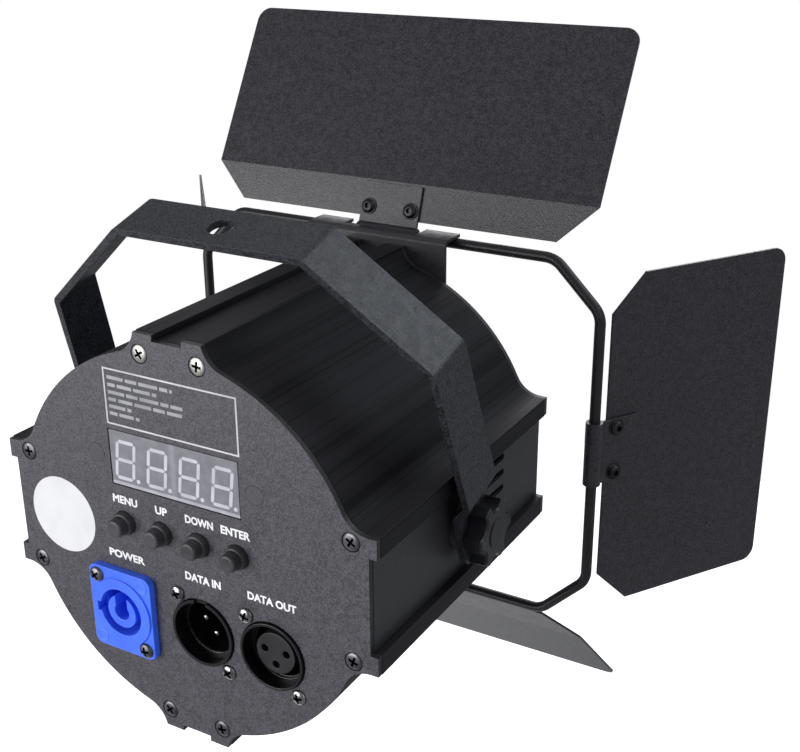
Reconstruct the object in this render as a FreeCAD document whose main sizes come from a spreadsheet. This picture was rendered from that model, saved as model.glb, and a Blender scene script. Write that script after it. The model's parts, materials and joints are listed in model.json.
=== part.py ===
import FreeCAD, Part
import math
import os
import Sketcher

# Led wash light with barn doors, hung from a bent flat yoke.
# Row frame: origin at the middle of the hole in the yoke's top flat, on its upper face.
# X runs across the lamp, the beam leaves towards -Y, the rear panel faces +Y, and +Z is up.
# Left and right are named as seen from behind, so the right side lies towards -X.
# Pieces of the lamp are drawn in lamp places: x across, depth from the rear panel's outer
# face towards the front, and z above the middle of that panel.

# Driving dimensions, in millimetres, degrees for angles
DIMENSIONS = {
    "body_length": 120.0,
    "rear_panel_thick": 2.0,
    "front_plate_thick": 2.0,
    "panel_inset": 0.15,
    "shell_radius": 67.0,
    "shell_wall": 2.6,
    "root_radius": 10.0,
    "top_gap_half": 5.5,
    "top_tab_outer": 12.9,
    "top_tab_rise": 4.7,
    "top_floor_rise": 2.7,
    "side_gap_half": 16.4,
    "side_tab_outer": 23.3,
    "side_floor_step": 2.4,
    "side_rail_rise": 2.7,
    "top_port_outer": 15.2,
    "top_port_depth": 6.6,
    "side_port_depth": 8.4,
    "groove_depth": 1.9,
    "slide_gap": 0.1,
    "strip_thick": 1.8,
    "side_plate_thick": 1.5,
    "top_screw_x": 11.0,
    "top_screw_setback": 2.3,
    "side_screw_setback": 3.8,
    "side_screw_z": 20.4,
    "screw_radius": 1.5,
    "screw_gap": 0.06,
    "screw_head_radius": 2.95,
    "screw_head_depth": 1.5,
    "screw_length": 11.0,
    "cross_width": 0.75,
    "cross_reach": 1.8,
    "cross_depth": 1.1,
    "front_head_height": 1.6,
    "vent_start": 66.0,
    "vent_end": 90.0,
    "vent_pitch": 5.95,
    "vent_radius": 1.3,
    "window_half_width": 25.5,
    "window_half_height": 9.8,
    "window_offset": 1.5,
    "window_z": 27.0,
    "window_thick": 0.5,
    "window_setback": 0.1,
    "window_edge_gap": 0.3,
    "display_depth": 8.0,
    "board_thick": 1.6,
    "board_half_width": 41.0,
    "board_top": 43.0,
    "board_bottom": -11.0,
    "post_spread_half": 31.1,
    "post_head_radius": 3.2,
    "post_radius": 2.5,
    "button_row_z": 3.9,
    "button_first_x": 23.2,
    "button_pitch": 15.0,
    "button_cap_radius": 3.1,
    "button_base_radius": 4.0,
    "button_base_proud": 2.4,
    "button_proud": 5.8,
    "button_flange_radius": 4.8,
    "button_flange_thick": 0.8,
    "button_gap": 0.2,
    "button_travel": 0.5,
    "switch_half": 3.0,
    "switch_height": 3.4,
    "inlet_x": 26.2,
    "inlet_z": -29.45,
    "socket_flange_half_width": 13.0,
    "socket_flange_half_height": 15.5,
    "socket_corner": 3.0,
    "inlet_flange_proud": 2.6,
    "inlet_barrel_radius": 11.4,
    "inlet_boss_radius": 12.4,
    "inlet_rim_proud": 0.6,
    "inlet_cavity_radius": 8.6,
    "inlet_core_radius": 6.0,
    "inlet_core_bore": 3.0,
    "inlet_core_slot_half": 2.4,
    "inlet_core_bore_depth": 12.0,
    "inlet_core_setback": 0.5,
    "inlet_notch_half": 1.8,
    "inlet_notch_reach": 10.0,
    "inlet_notch_depth": 4.0,
    "inlet_cavity_depth": 15.0,
    "inlet_depth": 24.0,
    "socket_screw_x": 9.5,
    "socket_screw_z": 12.0,
    "socket_screw_head_radius": 2.7,
    "socket_screw_head_height": 1.4,
    "data_in_x": -6.1,
    "data_out_x": -33.2,
    "data_z": -28.5,
    "data_ring_radius": 11.9,
    "data_ring_proud": 1.0,
    "data_bore_radius": 9.5,
    "data_mouth_radius": 10.9,
    "data_mouth_depth": 4.5,
    "data_notch_half": 2.25,
    "data_flange_thick": 2.0,
    "data_depth": 22.0,
    "data_insert_thick": 5.0,
    "pin_radius": 1.2,
    "pin_circle": 4.15,
    "pin_side_angle": 10.0,
    "pin_length": 11.0,
    "plug_face_radius": 7.3,
    "plug_face_setback": 2.6,
    "hole_gap": 0.3,
    "front_opening_radius": 22.5,
    "front_opening_offset": 25.5,
    "inner_disc_gap": 5.0,
    "glass_thick": 2.0,
    "reflector_depth": 17.6,
    "reflector_neck": 9.0,
    "reflector_mouth": 22.0,
    "emitter_half": 9.5,
    "emitter_thick": 1.4,
    "emitter_disc_radius": 7.6,
    "emitter_disc_rise": 0.6,
    "sink_edge_gap": 6.4,
    "sink_base_thick": 5.0,
    "sink_fin_length": 19.0,
    "sink_fin_thick": 2.0,
    "sink_fin_pitch": 9.0,
    "sink_post_offset": 38.0,
    "sink_post_radius": 3.0,
    "fan_half": 40.0,
    "fan_depth": 15.0,
    "fan_bore_radius": 38.0,
    "fan_hub_radius": 15.0,
    "fan_base_thick": 2.4,
    "fan_strut_width": 4.0,
    "fan_shaft_radius": 1.5,
    "fan_shaft_gap": 0.06,
    "fan_tip_gap": 1.2,
    "fan_blade_thick": 1.6,
    "fan_blade_height": 9.0,
    "fan_blade_pitch_angle": 35.0,
    "fan_running_gap": 0.5,
    "supply_half_width": 43.0,
    "supply_half_height": 27.0,
    "supply_depth": 21.0,
    "tray_half_width": 49.0,
    "tray_half_height": 32.0,
    "tray_thick": 1.2,
    "tray_ear_half_height": 11.0,
    "tray_ear_length": 12.0,
    "tray_setback": 5.0,
    "pivot_depth": 58.7,
    "stud_radius": 3.0,
    "stud_gap": 0.1,
    "stud_reach": 6.0,
    "nut_across_half": 5.0,
    "nut_thick": 5.0,
    "washer_radius": 8.5,
    "washer_thick": 2.75,
    "washer_face_gap": 0.05,
    "yoke_lean": 16.7,
    "yoke_height": 103.0,
    "yoke_flat_half": 35.3,
    "yoke_shoulder_drop": 34.2,
    "yoke_knee_jog": 4.4,
    "yoke_arm_taper": 4.3,
    "yoke_knee_rise": 16.3,
    "yoke_foot_rise": 10.9,
    "yoke_foot_end": 9.5,
    "yoke_foot_corner": 3.5,
    "yoke_thick": 2.5,
    "yoke_width": 19.4,
    "yoke_bend_radius": 1.5,
    "yoke_hole_radius": 4.25,
    "knob_radius": 11.3,
    "knob_thick": 6.4,
    "knob_valley_radius": 4.2,
    "knob_valley_offset": 12.4,
    "knob_hub_radius": 8.0,
    "knob_hub_thick": 0.8,
    "knob_edge": 0.6,
    "knob_cap_radius": 5.0,
    "knob_cap_rise": 0.4,
    "knob_face_gap": 0.05,
    "door_forward": 9.8,
    "door_half_width": 86.9,
    "door_half_height": 72.1,
    "door_corner_leg": 18.2,
    "door_rod_radius": 2.0,
    "door_bend_radius": 9.0,
    "bracket_half": 30.0,
    "bracket_thick": 1.2,
    "bracket_below_screw": 7.9,
    "bracket_notch_half": 16.0,
    "bracket_notch_gap": 1.0,
    "bracket_bend_radius": 0.8,
    "leaf_thick": 1.0,
    "leaf_inner": 5.6,
    "leaf_bend_place": 19.5,
    "leaf_panel": 65.6,
    "leaf_bend_angle": 10.7,
    "leaf_wedge": 14.0,
    "leaf_corner": 5.5,
    "long_leaf_half": 81.8,
    "short_leaf_half": 67.0,
    "leaf_angle_top": 19.0,
    "leaf_angle_bottom": 34.5,
    "leaf_angle_right": 57.5,
    "leaf_angle_left": 50.1,
    "sleeve_wall": 1.2,
    "sleeve_gap": 0.08,
    "tab_half": 12.6,
    "tab_reach": 18.5,
    "tab_screw_half": 9.0,
    "tab_screw_place": 9.2,
    "leaf_screw_head_radius": 3.2,
    "leaf_screw_head_height": 1.8,
    "leaf_screw_socket_half": 1.0,
    "leaf_nut_half": 2.75,
    "leaf_nut_thick": 2.2,
    "cut_overrun": 1.0,
}

COUNTS = {
    "vents": 5,
    "sink_fins": 11,
    "fan_blades": 7,
    "fan_struts": 4,
    "knob_lobes": 6,
    "nut_sides": 6,
}

FULL_TURN = 360
HALF_TURN = 180
QUARTER_TURN = 90

document = FreeCAD.newDocument("led_wash_light")
sheet = document.addObject("Spreadsheet::Sheet", "sizes")
for row, (alias, number) in enumerate(DIMENSIONS.items(), start=1):
    sheet.set(f"A{row}", alias)
    sheet.set(f"B{row}", str(number))
    sheet.setAlias(f"B{row}", alias)
document.recompute()

nodes = {}


class Size:
    """A length or an angle that knows its number and its formula in the sheet."""

    def __init__(self, number, formula):
        self.number = float(number)
        self.formula = formula

    def __add__(self, other):
        other = as_size(other)
        return Size(self.number + other.number, f"({self.formula} + {other.formula})")

    def __sub__(self, other):
        other = as_size(other)
        return Size(self.number - other.number, f"({self.formula} - {other.formula})")

    def __mul__(self, other):
        other = as_size(other)
        return Size(self.number * other.number, f"({self.formula} * {other.formula})")

    def __truediv__(self, other):
        other = as_size(other)
        return Size(self.number / other.number, f"({self.formula} / {other.formula})")

    def __neg__(self):
        return Size(-self.number, f"(-1 * {self.formula})")

    __radd__ = __add__
    __rmul__ = __mul__

    def __rsub__(self, other):
        return as_size(other) - self

    def __float__(self):
        return self.number


def as_size(value):
    if isinstance(value, Size):
        return value
    return Size(value, str(value))


def root(size):
    return Size(math.sqrt(size.number), f"sqrt({size.formula})")


def sine(angle):
    angle = as_size(angle)
    return Size(math.sin(math.radians(angle.number)), f"sin({angle.formula})")


def cosine(angle):
    angle = as_size(angle)
    return Size(math.cos(math.radians(angle.number)), f"cos({angle.formula})")


def squared(size):
    return size * size


class Sheet:
    """Every driving dimension as an attribute."""


dim = Sheet()
for alias, number in DIMENSIONS.items():
    setattr(dim, alias, Size(number, f"sizes.{alias}"))

ZERO = Size(0, "0")

# Places that follow the round of the housing, its length and what sits between its rails
SHELL_INNER = dim.shell_radius - dim.shell_wall
TOP_TAB_HEIGHT = dim.shell_radius + dim.top_tab_rise
TOP_FLOOR = dim.shell_radius + dim.top_floor_rise
TOP_PORT_FLOOR = dim.shell_radius - dim.top_port_depth
TOP_SCREW_Z = dim.shell_radius - dim.top_screw_setback
SIDE_FLOOR = dim.shell_radius + dim.side_floor_step
SIDE_REACH = SIDE_FLOOR + dim.side_rail_rise
SIDE_PORT_INNER = dim.shell_radius - dim.side_port_depth
SIDE_SCREW_X = dim.shell_radius - dim.side_screw_setback
SIDE_WALL = SIDE_FLOOR - dim.side_plate_thick
YOKE_FOOT_FACE = SIDE_FLOOR + dim.washer_thick + dim.washer_face_gap
YOKE_FOOT_SPAN = YOKE_FOOT_FACE + dim.yoke_thick
YOKE_KNEE_SPAN = YOKE_FOOT_SPAN + dim.yoke_knee_jog
YOKE_SHOULDER_SPAN = YOKE_KNEE_SPAN - dim.yoke_arm_taper
DOOR_DEPTH = dim.body_length + dim.door_forward


# Binding, planes and placements

def bind(target, name, size):
    size = as_size(size)
    if size.formula == "0":
        return
    target.setExpression(name, size.formula)


def put(target, x=ZERO, y=ZERO, z=ZERO, turn=None):
    """Places an object, its place bound to the sheet. A turn is an axis and an angle."""
    rotation = FreeCAD.Rotation()
    if turn is not None:
        axis, angle = turn
        rotation = FreeCAD.Rotation(FreeCAD.Vector(*axis), float(as_size(angle)))
    base = FreeCAD.Vector(float(as_size(x)), float(as_size(y)), float(as_size(z)))
    target.Placement = FreeCAD.Placement(base, rotation)
    for letter, size in (("x", x), ("y", y), ("z", z)):
        bind(target, f"Placement.Base.{letter}", size)
    if turn is not None and isinstance(turn[1], Size):
        bind(target, "Placement.Rotation.Angle", turn[1])
    return target


# The lamp's own places start at the middle of the rear panel's outer face.
LAMP_Y = dim.pivot_depth - dim.yoke_height * sine(dim.yoke_lean)
LAMP_Z = -dim.yoke_height * cosine(dim.yoke_lean)


def node(name, pieces, x=ZERO, depth=ZERO, z=ZERO, turn=None):
    """Names a sub-part and places it from the lamp's places in the row frame."""
    pieces = pieces if isinstance(pieces, list) else [pieces]
    holder = document.addObject("Part::Compound", name)
    holder.Label = name
    holder.Links = pieces
    put(holder, x, LAMP_Y - depth, LAMP_Z + z, turn)
    nodes[name] = holder
    return holder


# Sketched profiles

def add_edge(sketch, start, end, arc):
    first = FreeCAD.Vector(float(start[0]), float(start[1]), 0)
    last = FreeCAD.Vector(float(end[0]), float(end[1]), 0)
    if arc is None:
        return sketch.addGeometry(Part.LineSegment(first, last)), 1, 2
    middle_x, middle_y, radius = (float(value) for value in arc)
    centre = FreeCAD.Vector(middle_x, middle_y, 0)
    circle = Part.Circle(centre, FreeCAD.Vector(0, 0, 1), radius)
    angle_first = math.atan2(first.y - middle_y, first.x - middle_x)
    angle_last = math.atan2(last.y - middle_y, last.x - middle_x)
    sweep = (angle_last - angle_first) % math.tau
    if sweep < math.pi:
        return sketch.addGeometry(Part.ArcOfCircle(circle, angle_first, angle_last)), 1, 2
    return sketch.addGeometry(Part.ArcOfCircle(circle, angle_last, angle_first)), 2, 1


def fix_point(sketch, geometry, end, x, y):
    for kind, axis, size in (("DistanceX", -2, as_size(x)), ("DistanceY", -1, as_size(y))):
        if size.formula == "0":
            sketch.addConstraint(Sketcher.Constraint("PointOnObject", geometry, end, axis))
            continue
        held = Sketcher.Constraint(kind, -1, 1, geometry, end, size.number)
        place = sketch.addConstraint(held)
        sketch.setExpression(f"Constraints[{place}]", size.formula)


def fix_radius(sketch, geometry, radius):
    place = sketch.addConstraint(Sketcher.Constraint("Radius", geometry, float(radius)))
    sketch.setExpression(f"Constraints[{place}]", radius.formula)


def draw(sketch, loop):
    """Draws a closed loop. A corner is (x, y) or (x, y, arc), with the arc that leaves it."""
    if loop[0] == "circle":
        _, x, y, radius = loop
        middle = FreeCAD.Vector(float(as_size(x)), float(as_size(y)), 0)
        circle = Part.Circle(middle, FreeCAD.Vector(0, 0, 1), float(radius))
        geometry = sketch.addGeometry(circle)
        fix_point(sketch, geometry, 3, x, y)
        fix_radius(sketch, geometry, radius)
        return
    corners = [(as_size(corner[0]), as_size(corner[1])) for corner in loop]
    arcs = [corner[2] if len(corner) > 2 else None for corner in loop]
    edges = []
    for place, start in enumerate(corners):
        end = corners[(place + 1) % len(corners)]
        edges.append(add_edge(sketch, start, end, arcs[place]))
    for place, (geometry, first, last) in enumerate(edges):
        following, following_first, _ = edges[(place + 1) % len(edges)]
        joined = Sketcher.Constraint("Coincident", geometry, last, following, following_first)
        sketch.addConstraint(joined)
        fix_point(sketch, geometry, first, *corners[place])
        if arcs[place] is not None:
            fix_radius(sketch, geometry, as_size(arcs[place][2]))


PLANES = {"depth": "XZ_Plane", "side": "YZ_Plane", "flat": "XY_Plane"}


def body_sketch(body, plane, loops, start):
    sketch = body.newObject("Sketcher::SketchObject", "outline")
    support = [part for part in body.Origin.OriginFeatures if part.Role == PLANES[plane]][0]
    sketch.AttachmentSupport = [(support, "")]
    sketch.MapMode = "FlatFace"
    start = as_size(start)
    offset = FreeCAD.Vector(0, 0, start.number)
    sketch.AttachmentOffset = FreeCAD.Placement(offset, FreeCAD.Rotation())
    bind(sketch, "AttachmentOffset.Base.z", start)
    for loop in loops:
        draw(sketch, loop)
    sketch.Visibility = False
    return sketch


def new_body(name):
    return document.addObject("PartDesign::Body", name)


def pad(body, plane, loops, start, end):
    """Pads loops from one place to a further one along the plane's normal."""
    feature = body.newObject("PartDesign::Pad", "pad")
    feature.Profile = body_sketch(body, plane, loops, start)
    feature.Length = float(as_size(end) - start)
    bind(feature, "Length", as_size(end) - start)
    body.Tip = feature
    return feature


def pocket(body, plane, loops, start, end):
    """Cuts loops from the further place back to the nearer one."""
    feature = body.newObject("PartDesign::Pocket", "pocket")
    feature.Profile = body_sketch(body, plane, loops, end)
    feature.Length = float(as_size(end) - start)
    bind(feature, "Length", as_size(end) - start)
    body.Tip = feature
    return feature


def plate(name, plane, loops, start, end):
    body = new_body(name)
    pad(body, plane, loops, start, end)
    return body


# Primitives, cuts and joins

def block(name, x, depth, z):
    """A box from three pairs of places."""
    made = document.addObject("Part::Box", name)
    bind(made, "Length", as_size(x[1]) - x[0])
    bind(made, "Width", as_size(depth[1]) - depth[0])
    bind(made, "Height", as_size(z[1]) - z[0])
    return put(made, as_size(x[0]), -as_size(depth[1]), as_size(z[0]))


def rod(name, radius, depth, x=ZERO, z=ZERO):
    """A cylinder along the lamp's depth."""
    made = document.addObject("Part::Cylinder", name)
    bind(made, "Radius", radius)
    bind(made, "Height", as_size(depth[1]) - depth[0])
    return put(made, x, -as_size(depth[0]), z, ((1, 0, 0), QUARTER_TURN))


def cross_rod(name, radius, x, y=ZERO, z=ZERO):
    """A cylinder along X."""
    made = document.addObject("Part::Cylinder", name)
    bind(made, "Radius", radius)
    bind(made, "Height", as_size(x[1]) - x[0])
    return put(made, as_size(x[0]), y, z, ((0, 1, 0), QUARTER_TURN))


def cone(name, rear_radius, front_radius, depth, x=ZERO, z=ZERO):
    made = document.addObject("Part::Cone", name)
    bind(made, "Radius1", rear_radius)
    bind(made, "Radius2", front_radius)
    bind(made, "Height", as_size(depth[1]) - depth[0])
    return put(made, x, -as_size(depth[0]), z, ((1, 0, 0), QUARTER_TURN))


def join(name, pieces):
    made = document.addObject("Part::MultiFuse", name)
    made.Shapes = pieces
    return made


def cut(name, base, tools):
    made = document.addObject("Part::Cut", name)
    made.Base = base
    made.Tool = tools[0] if len(tools) == 1 else join(f"{name}_tools", tools)
    return made


def shared(name, first, second):
    made = document.addObject("Part::Common", name)
    made.Base = first
    made.Tool = second
    return made


# Loops used in more than one place

def rectangle(low_x, high_x, low_y, high_y):
    return [(low_x, low_y), (high_x, low_y), (high_x, high_y), (low_x, high_y)]


def rounded_rectangle(x, y, half_x, half_y, radius):
    """A rectangle round a middle, with four quarter-circle corners."""
    left, right, low, high = x - half_x, x + half_x, y - half_y, y + half_y
    return [
        (left + radius, low),
        (right - radius, low, (right - radius, low + radius, radius)),
        (right, low + radius),
        (right, high - radius, (right - radius, high - radius, radius)),
        (right - radius, high),
        (left + radius, high, (left + radius, high - radius, radius)),
        (left, high - radius),
        (left, low + radius, (left + radius, low + radius, radius)),
    ]


def slot_loop(low_x, high_x, y, radius):
    """A slot with round ends, each end drawn as two quarter circles."""
    return [
        (low_x, y - radius),
        (high_x, y - radius, (high_x, y, radius)),
        (high_x + radius, y, (high_x, y, radius)),
        (high_x, y + radius),
        (low_x, y + radius, (low_x, y, radius)),
        (low_x - radius, y, (low_x, y, radius)),
    ]


def polygon(count, across_half, middle_x=ZERO, middle_y=ZERO):
    """A regular polygon, given by half its size across flats."""
    reach = across_half / cosine(HALF_TURN / count)
    corners = []
    for step in range(count):
        angle = FULL_TURN / count * step
        corners.append((middle_x + reach * cosine(angle), middle_y + reach * sine(angle)))
    return corners


# Outline of the housing's section, one quarter at a time

def quarter_outline(inset):
    """Corners of the outer line from the top gap to the side gap, x and z both positive."""
    radius = dim.shell_radius - inset
    hollow = dim.root_radius + inset
    tab_x = dim.top_tab_outer - inset
    tab_z = TOP_TAB_HEIGHT - inset
    reach = squared(radius + hollow)
    top_x = tab_x + hollow
    top_z = root(reach - squared(top_x))
    tab_end = top_x - root(squared(hollow) - squared(top_z - tab_z))
    rail_z = dim.side_tab_outer - inset
    side_z = rail_z + hollow
    side_x = root(reach - squared(side_z))
    share = radius / (radius + hollow)
    return [
        (dim.top_gap_half + inset, tab_z),
        (tab_end, tab_z, (top_x, top_z, hollow)),
        (top_x * share, top_z * share, (ZERO, ZERO, radius)),
        (side_x * share, side_z * share, (side_x, side_z, hollow)),
        (side_x, rail_z),
        (SIDE_REACH - inset, rail_z),
        (SIDE_REACH - inset, dim.side_gap_half + inset),
    ]


def mirrored(corners, flip_x, flip_z):
    """The same corners in another quarter, each arc's middle with them."""
    turned = []
    for corner in corners:
        x = -corner[0] if flip_x else corner[0]
        z = -corner[1] if flip_z else corner[1]
        if len(corner) == 2:
            turned.append((x, z))
            continue
        middle_x, middle_z, radius = corner[2]
        middle_x = -middle_x if flip_x and middle_x.formula != "0" else middle_x
        middle_z = -middle_z if flip_z and middle_z.formula != "0" else middle_z
        turned.append((x, z, (middle_x, middle_z, radius)))
    return turned


def reversed_corners(corners):
    """The same line walked the other way, so each arc moves to its other end."""
    points = [(corner[0], corner[1]) for corner in corners]
    arcs = [corner[2] if len(corner) > 2 else None for corner in corners]
    walked = []
    for place in range(len(corners) - 1, -1, -1):
        arc = arcs[place - 1] if place > 0 else None
        walked.append((*points[place], arc) if arc is not None else points[place])
    return walked


def full_outline(inset):
    """The whole section: four quarters with the floors of the gaps between them."""
    quarter = quarter_outline(inset)
    side = SIDE_FLOOR - inset
    top = TOP_FLOOR - inset
    gap_z = dim.side_gap_half + inset
    gap_x = dim.top_gap_half + inset
    loop = list(quarter)
    loop += [(side, gap_z), (side, -gap_z)]
    loop += reversed_corners(mirrored(quarter, False, True))
    loop += [(gap_x, -top), (-gap_x, -top)]
    loop += mirrored(quarter, True, True)
    loop += [(-side, -gap_z), (-side, gap_z)]
    loop += reversed_corners(mirrored(quarter, True, False))
    loop += [(-gap_x, top), (gap_x, top)]
    return loop


def corner_places():
    """The eight screw places, top and bottom pairs first."""
    places = []
    for x, z in ((dim.top_screw_x, TOP_SCREW_Z), (SIDE_SCREW_X, dim.side_screw_z)):
        for sign_z in (1, -1):
            for sign_x in (1, -1):
                places.append((x * sign_x, z * sign_z))
    return places


# Housing

BODY_START = dim.rear_panel_thick
BODY_END = dim.body_length - dim.front_plate_thick
HOLE_RADIUS = dim.screw_radius + dim.screw_gap


def quarter_loop():
    """The section of one shell: outer line, plate grooves and the two screw ports."""
    plate_out = SIDE_FLOOR + dim.slide_gap
    plate_in = SIDE_WALL - dim.slide_gap
    strip_out = TOP_FLOOR + dim.slide_gap
    strip_in = TOP_FLOOR - dim.strip_thick - dim.slide_gap
    side_deep = dim.side_gap_half + dim.groove_depth
    top_deep = dim.top_gap_half + dim.groove_depth
    side_on_arc = root(squared(SHELL_INNER) - squared(SIDE_PORT_INNER))
    top_on_arc = root(squared(SHELL_INNER) - squared(dim.top_port_outer))
    return quarter_outline(ZERO) + [
        (plate_out, dim.side_gap_half),
        (plate_out, side_deep),
        (plate_in, side_deep),
        (plate_in, dim.side_gap_half),
        (SIDE_PORT_INNER, dim.side_gap_half),
        (SIDE_PORT_INNER, side_on_arc, (ZERO, ZERO, SHELL_INNER)),
        (dim.top_port_outer, top_on_arc),
        (dim.top_port_outer, TOP_PORT_FLOOR),
        (dim.top_gap_half, TOP_PORT_FLOOR),
        (dim.top_gap_half, strip_in),
        (top_deep, strip_in),
        (top_deep, strip_out),
        (dim.top_gap_half, strip_out),
    ]


def make_shells():
    quarters = (("top_left", False, False), ("top_right", True, False),
                ("bottom_left", False, True), ("bottom_right", True, True))
    for place, flip_x, flip_z in quarters:
        sign_x = -1 if flip_x else 1
        sign_z = -1 if flip_z else 1
        loops = [
            mirrored(quarter_loop(), flip_x, flip_z),
            ("circle", dim.top_screw_x * sign_x, TOP_SCREW_Z * sign_z, HOLE_RADIUS),
            ("circle", SIDE_SCREW_X * sign_x, dim.side_screw_z * sign_z, HOLE_RADIUS),
        ]
        name = f"shell_{place}"
        node(name, plate(f"{name}_body", "depth", loops, BODY_START, BODY_END))


def make_channel_strips():
    half = dim.top_gap_half + dim.groove_depth - dim.slide_gap
    low = TOP_FLOOR - dim.strip_thick
    strips = []
    for name, z in (("upper", (low, TOP_FLOOR)), ("lower", (-TOP_FLOOR, -low))):
        strips.append(block(f"{name}_strip", (-half, half), (BODY_START, BODY_END), z))
    node("channel_strips", strips)


def make_side_plates():
    half = dim.side_gap_half + dim.groove_depth - dim.slide_gap
    middle = (COUNTS["vents"] - 1) / 2
    loops = [rectangle(-BODY_END, -BODY_START, -half, half)]
    for step in range(COUNTS["vents"]):
        z = dim.vent_pitch * (step - middle)
        first = -dim.vent_end + dim.vent_radius
        last = -dim.vent_start - dim.vent_radius
        loops.append(slot_loop(first, last, z, dim.vent_radius))
    loops.append(("circle", -dim.pivot_depth, ZERO, dim.stud_radius + dim.stud_gap))
    node("side_plate_left", plate("left_plate", "side", loops, SIDE_WALL, SIDE_FLOOR))
    node("side_plate_right", plate("right_plate", "side", loops, -SIDE_FLOOR, -SIDE_WALL))


# Screws

def cross_recess(name, x, z, face, depth):
    """Two crossed bars that cut a cross into a screw head at a face."""
    low = face - dim.cut_overrun
    high = face + depth
    reach = dim.cross_reach
    width = dim.cross_width / 2
    return [
        block(f"{name}_bar", (x - reach, x + reach), (low, high), (z - width, z + width)),
        block(f"{name}_post", (x - width, x + width), (low, high), (z - reach, z + reach)),
    ]


def sunk_screw(name, x, z):
    """A countersunk screw in the rear panel, its head flush with the panel."""
    head = cone(f"{name}_head", dim.screw_head_radius, dim.screw_radius,
                (ZERO, dim.screw_head_depth), x, z)
    shank = rod(f"{name}_shank", dim.screw_radius, (ZERO, dim.screw_length), x, z)
    recess = cross_recess(name, x, z, ZERO, dim.cross_depth)
    return cut(name, join(f"{name}_blank", [head, shank]), recess)


def make_rear_screws():
    node("rear_screws", [sunk_screw("rear_screw", x, z) for x, z in corner_places()])


def front_screw(name, x, z, face):
    """A flat-headed screw that enters from the front."""
    top = face + dim.front_head_height
    end = dim.body_length - dim.screw_length
    head = rod(f"{name}_head", dim.screw_head_radius, (face, top), x, z)
    shank = rod(f"{name}_shank", dim.screw_radius, (end, top), x, z)
    width = dim.cross_width / 2
    low = top - dim.cross_depth
    high = top + dim.cut_overrun
    reach = dim.cross_reach
    recess = [
        block(f"{name}_bar", (x - reach, x + reach), (low, high), (z - width, z + width)),
        block(f"{name}_post", (x - width, x + width), (low, high), (z - reach, z + reach)),
    ]
    return cut(name, join(f"{name}_blank", [head, shank]), recess)


def make_front_screws():
    screws = []
    for place, (x, z) in enumerate(corner_places()):
        through_bracket = place < len(corner_places()) / 2
        lift = dim.bracket_thick if through_bracket else ZERO
        screws.append(front_screw("front_screw", x, z, dim.body_length + lift))
    node("front_screws", screws)


# Rear panel and what sits in it

def window_edges(gap):
    middle = dim.window_offset
    half_x = dim.window_half_width - gap
    half_z = dim.window_half_height - gap
    return (middle - half_x, middle + half_x), (dim.window_z - half_z, dim.window_z + half_z)


def button_places():
    return [dim.button_first_x - dim.button_pitch * step for step in range(len(BUTTONS))]


def socket_screw_places(x, z):
    return [(x + dim.socket_screw_x, z + dim.socket_screw_z),
            (x - dim.socket_screw_x, z - dim.socket_screw_z)]


BUTTONS = ["menu", "up", "down", "enter"]
SOCKETS = [(dim.inlet_x, dim.inlet_z), (dim.data_in_x, dim.data_z), (dim.data_out_x, dim.data_z)]


def make_rear_panel():
    loops = [full_outline(dim.panel_inset)]
    across, upright = window_edges(ZERO)
    loops.append(rectangle(*across, *upright))
    for x in button_places():
        loops.append(("circle", x, dim.button_row_z, dim.button_base_radius + dim.button_gap))
    for x, z in post_places():
        loops.append(("circle", x, z, dim.post_head_radius + dim.screw_gap))
    barrels = (dim.inlet_barrel_radius, dim.data_ring_radius, dim.data_ring_radius)
    for (x, z), radius in zip(SOCKETS, barrels):
        loops.append(("circle", x, z, radius + dim.hole_gap))
        for screw_x, screw_z in socket_screw_places(x, z):
            loops.append(("circle", screw_x, screw_z, HOLE_RADIUS))
    sheet_body = plate("panel_sheet", "depth", loops, ZERO, dim.rear_panel_thick)
    sinks = []
    for x, z in corner_places():
        gap = dim.screw_gap
        sinks.append(cone("countersink", dim.screw_head_radius + gap, dim.screw_radius + gap,
                          (ZERO, dim.screw_head_depth), x, z))
        sinks.append(rod("screw_hole", HOLE_RADIUS, (ZERO, dim.rear_panel_thick), x, z))
    node("rear_panel", cut("rear_panel_cut", sheet_body, sinks))


def post_places():
    middle = dim.window_offset
    spread = dim.post_spread_half
    return [(middle + spread, dim.window_z), (middle - spread, dim.window_z)]


DISPLAY_FRONT = dim.window_setback + dim.window_thick
BOARD_FRONT = DISPLAY_FRONT + dim.display_depth


def make_display():
    across, upright = window_edges(dim.window_edge_gap)
    front = (dim.window_setback, DISPLAY_FRONT)
    node("display_window", block("window_cover", across, front, upright))
    node("display_module", block("module_case", across, (DISPLAY_FRONT, BOARD_FRONT), upright))


def make_board():
    board = (BOARD_FRONT, BOARD_FRONT + dim.board_thick)
    wide = (-dim.board_half_width, dim.board_half_width)
    node("control_board", block("board", wide, board, (dim.board_bottom, dim.board_top)))
    posts = []
    for x, z in post_places():
        head = rod("post_head", dim.post_head_radius, (ZERO, dim.rear_panel_thick), x, z)
        shaft = rod("post_shaft", dim.post_radius, (ZERO, BOARD_FRONT), x, z)
        posts.append(join("board_post", [head, shaft]))
    node("board_posts", posts)
    half = dim.switch_half
    depth = (BOARD_FRONT - dim.switch_height, BOARD_FRONT)
    switches = []
    for x in button_places():
        upright = (dim.button_row_z - half, dim.button_row_z + half)
        switches.append(block("key_switch", (x - half, x + half), depth, upright))
    node("key_switches", switches)


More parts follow.
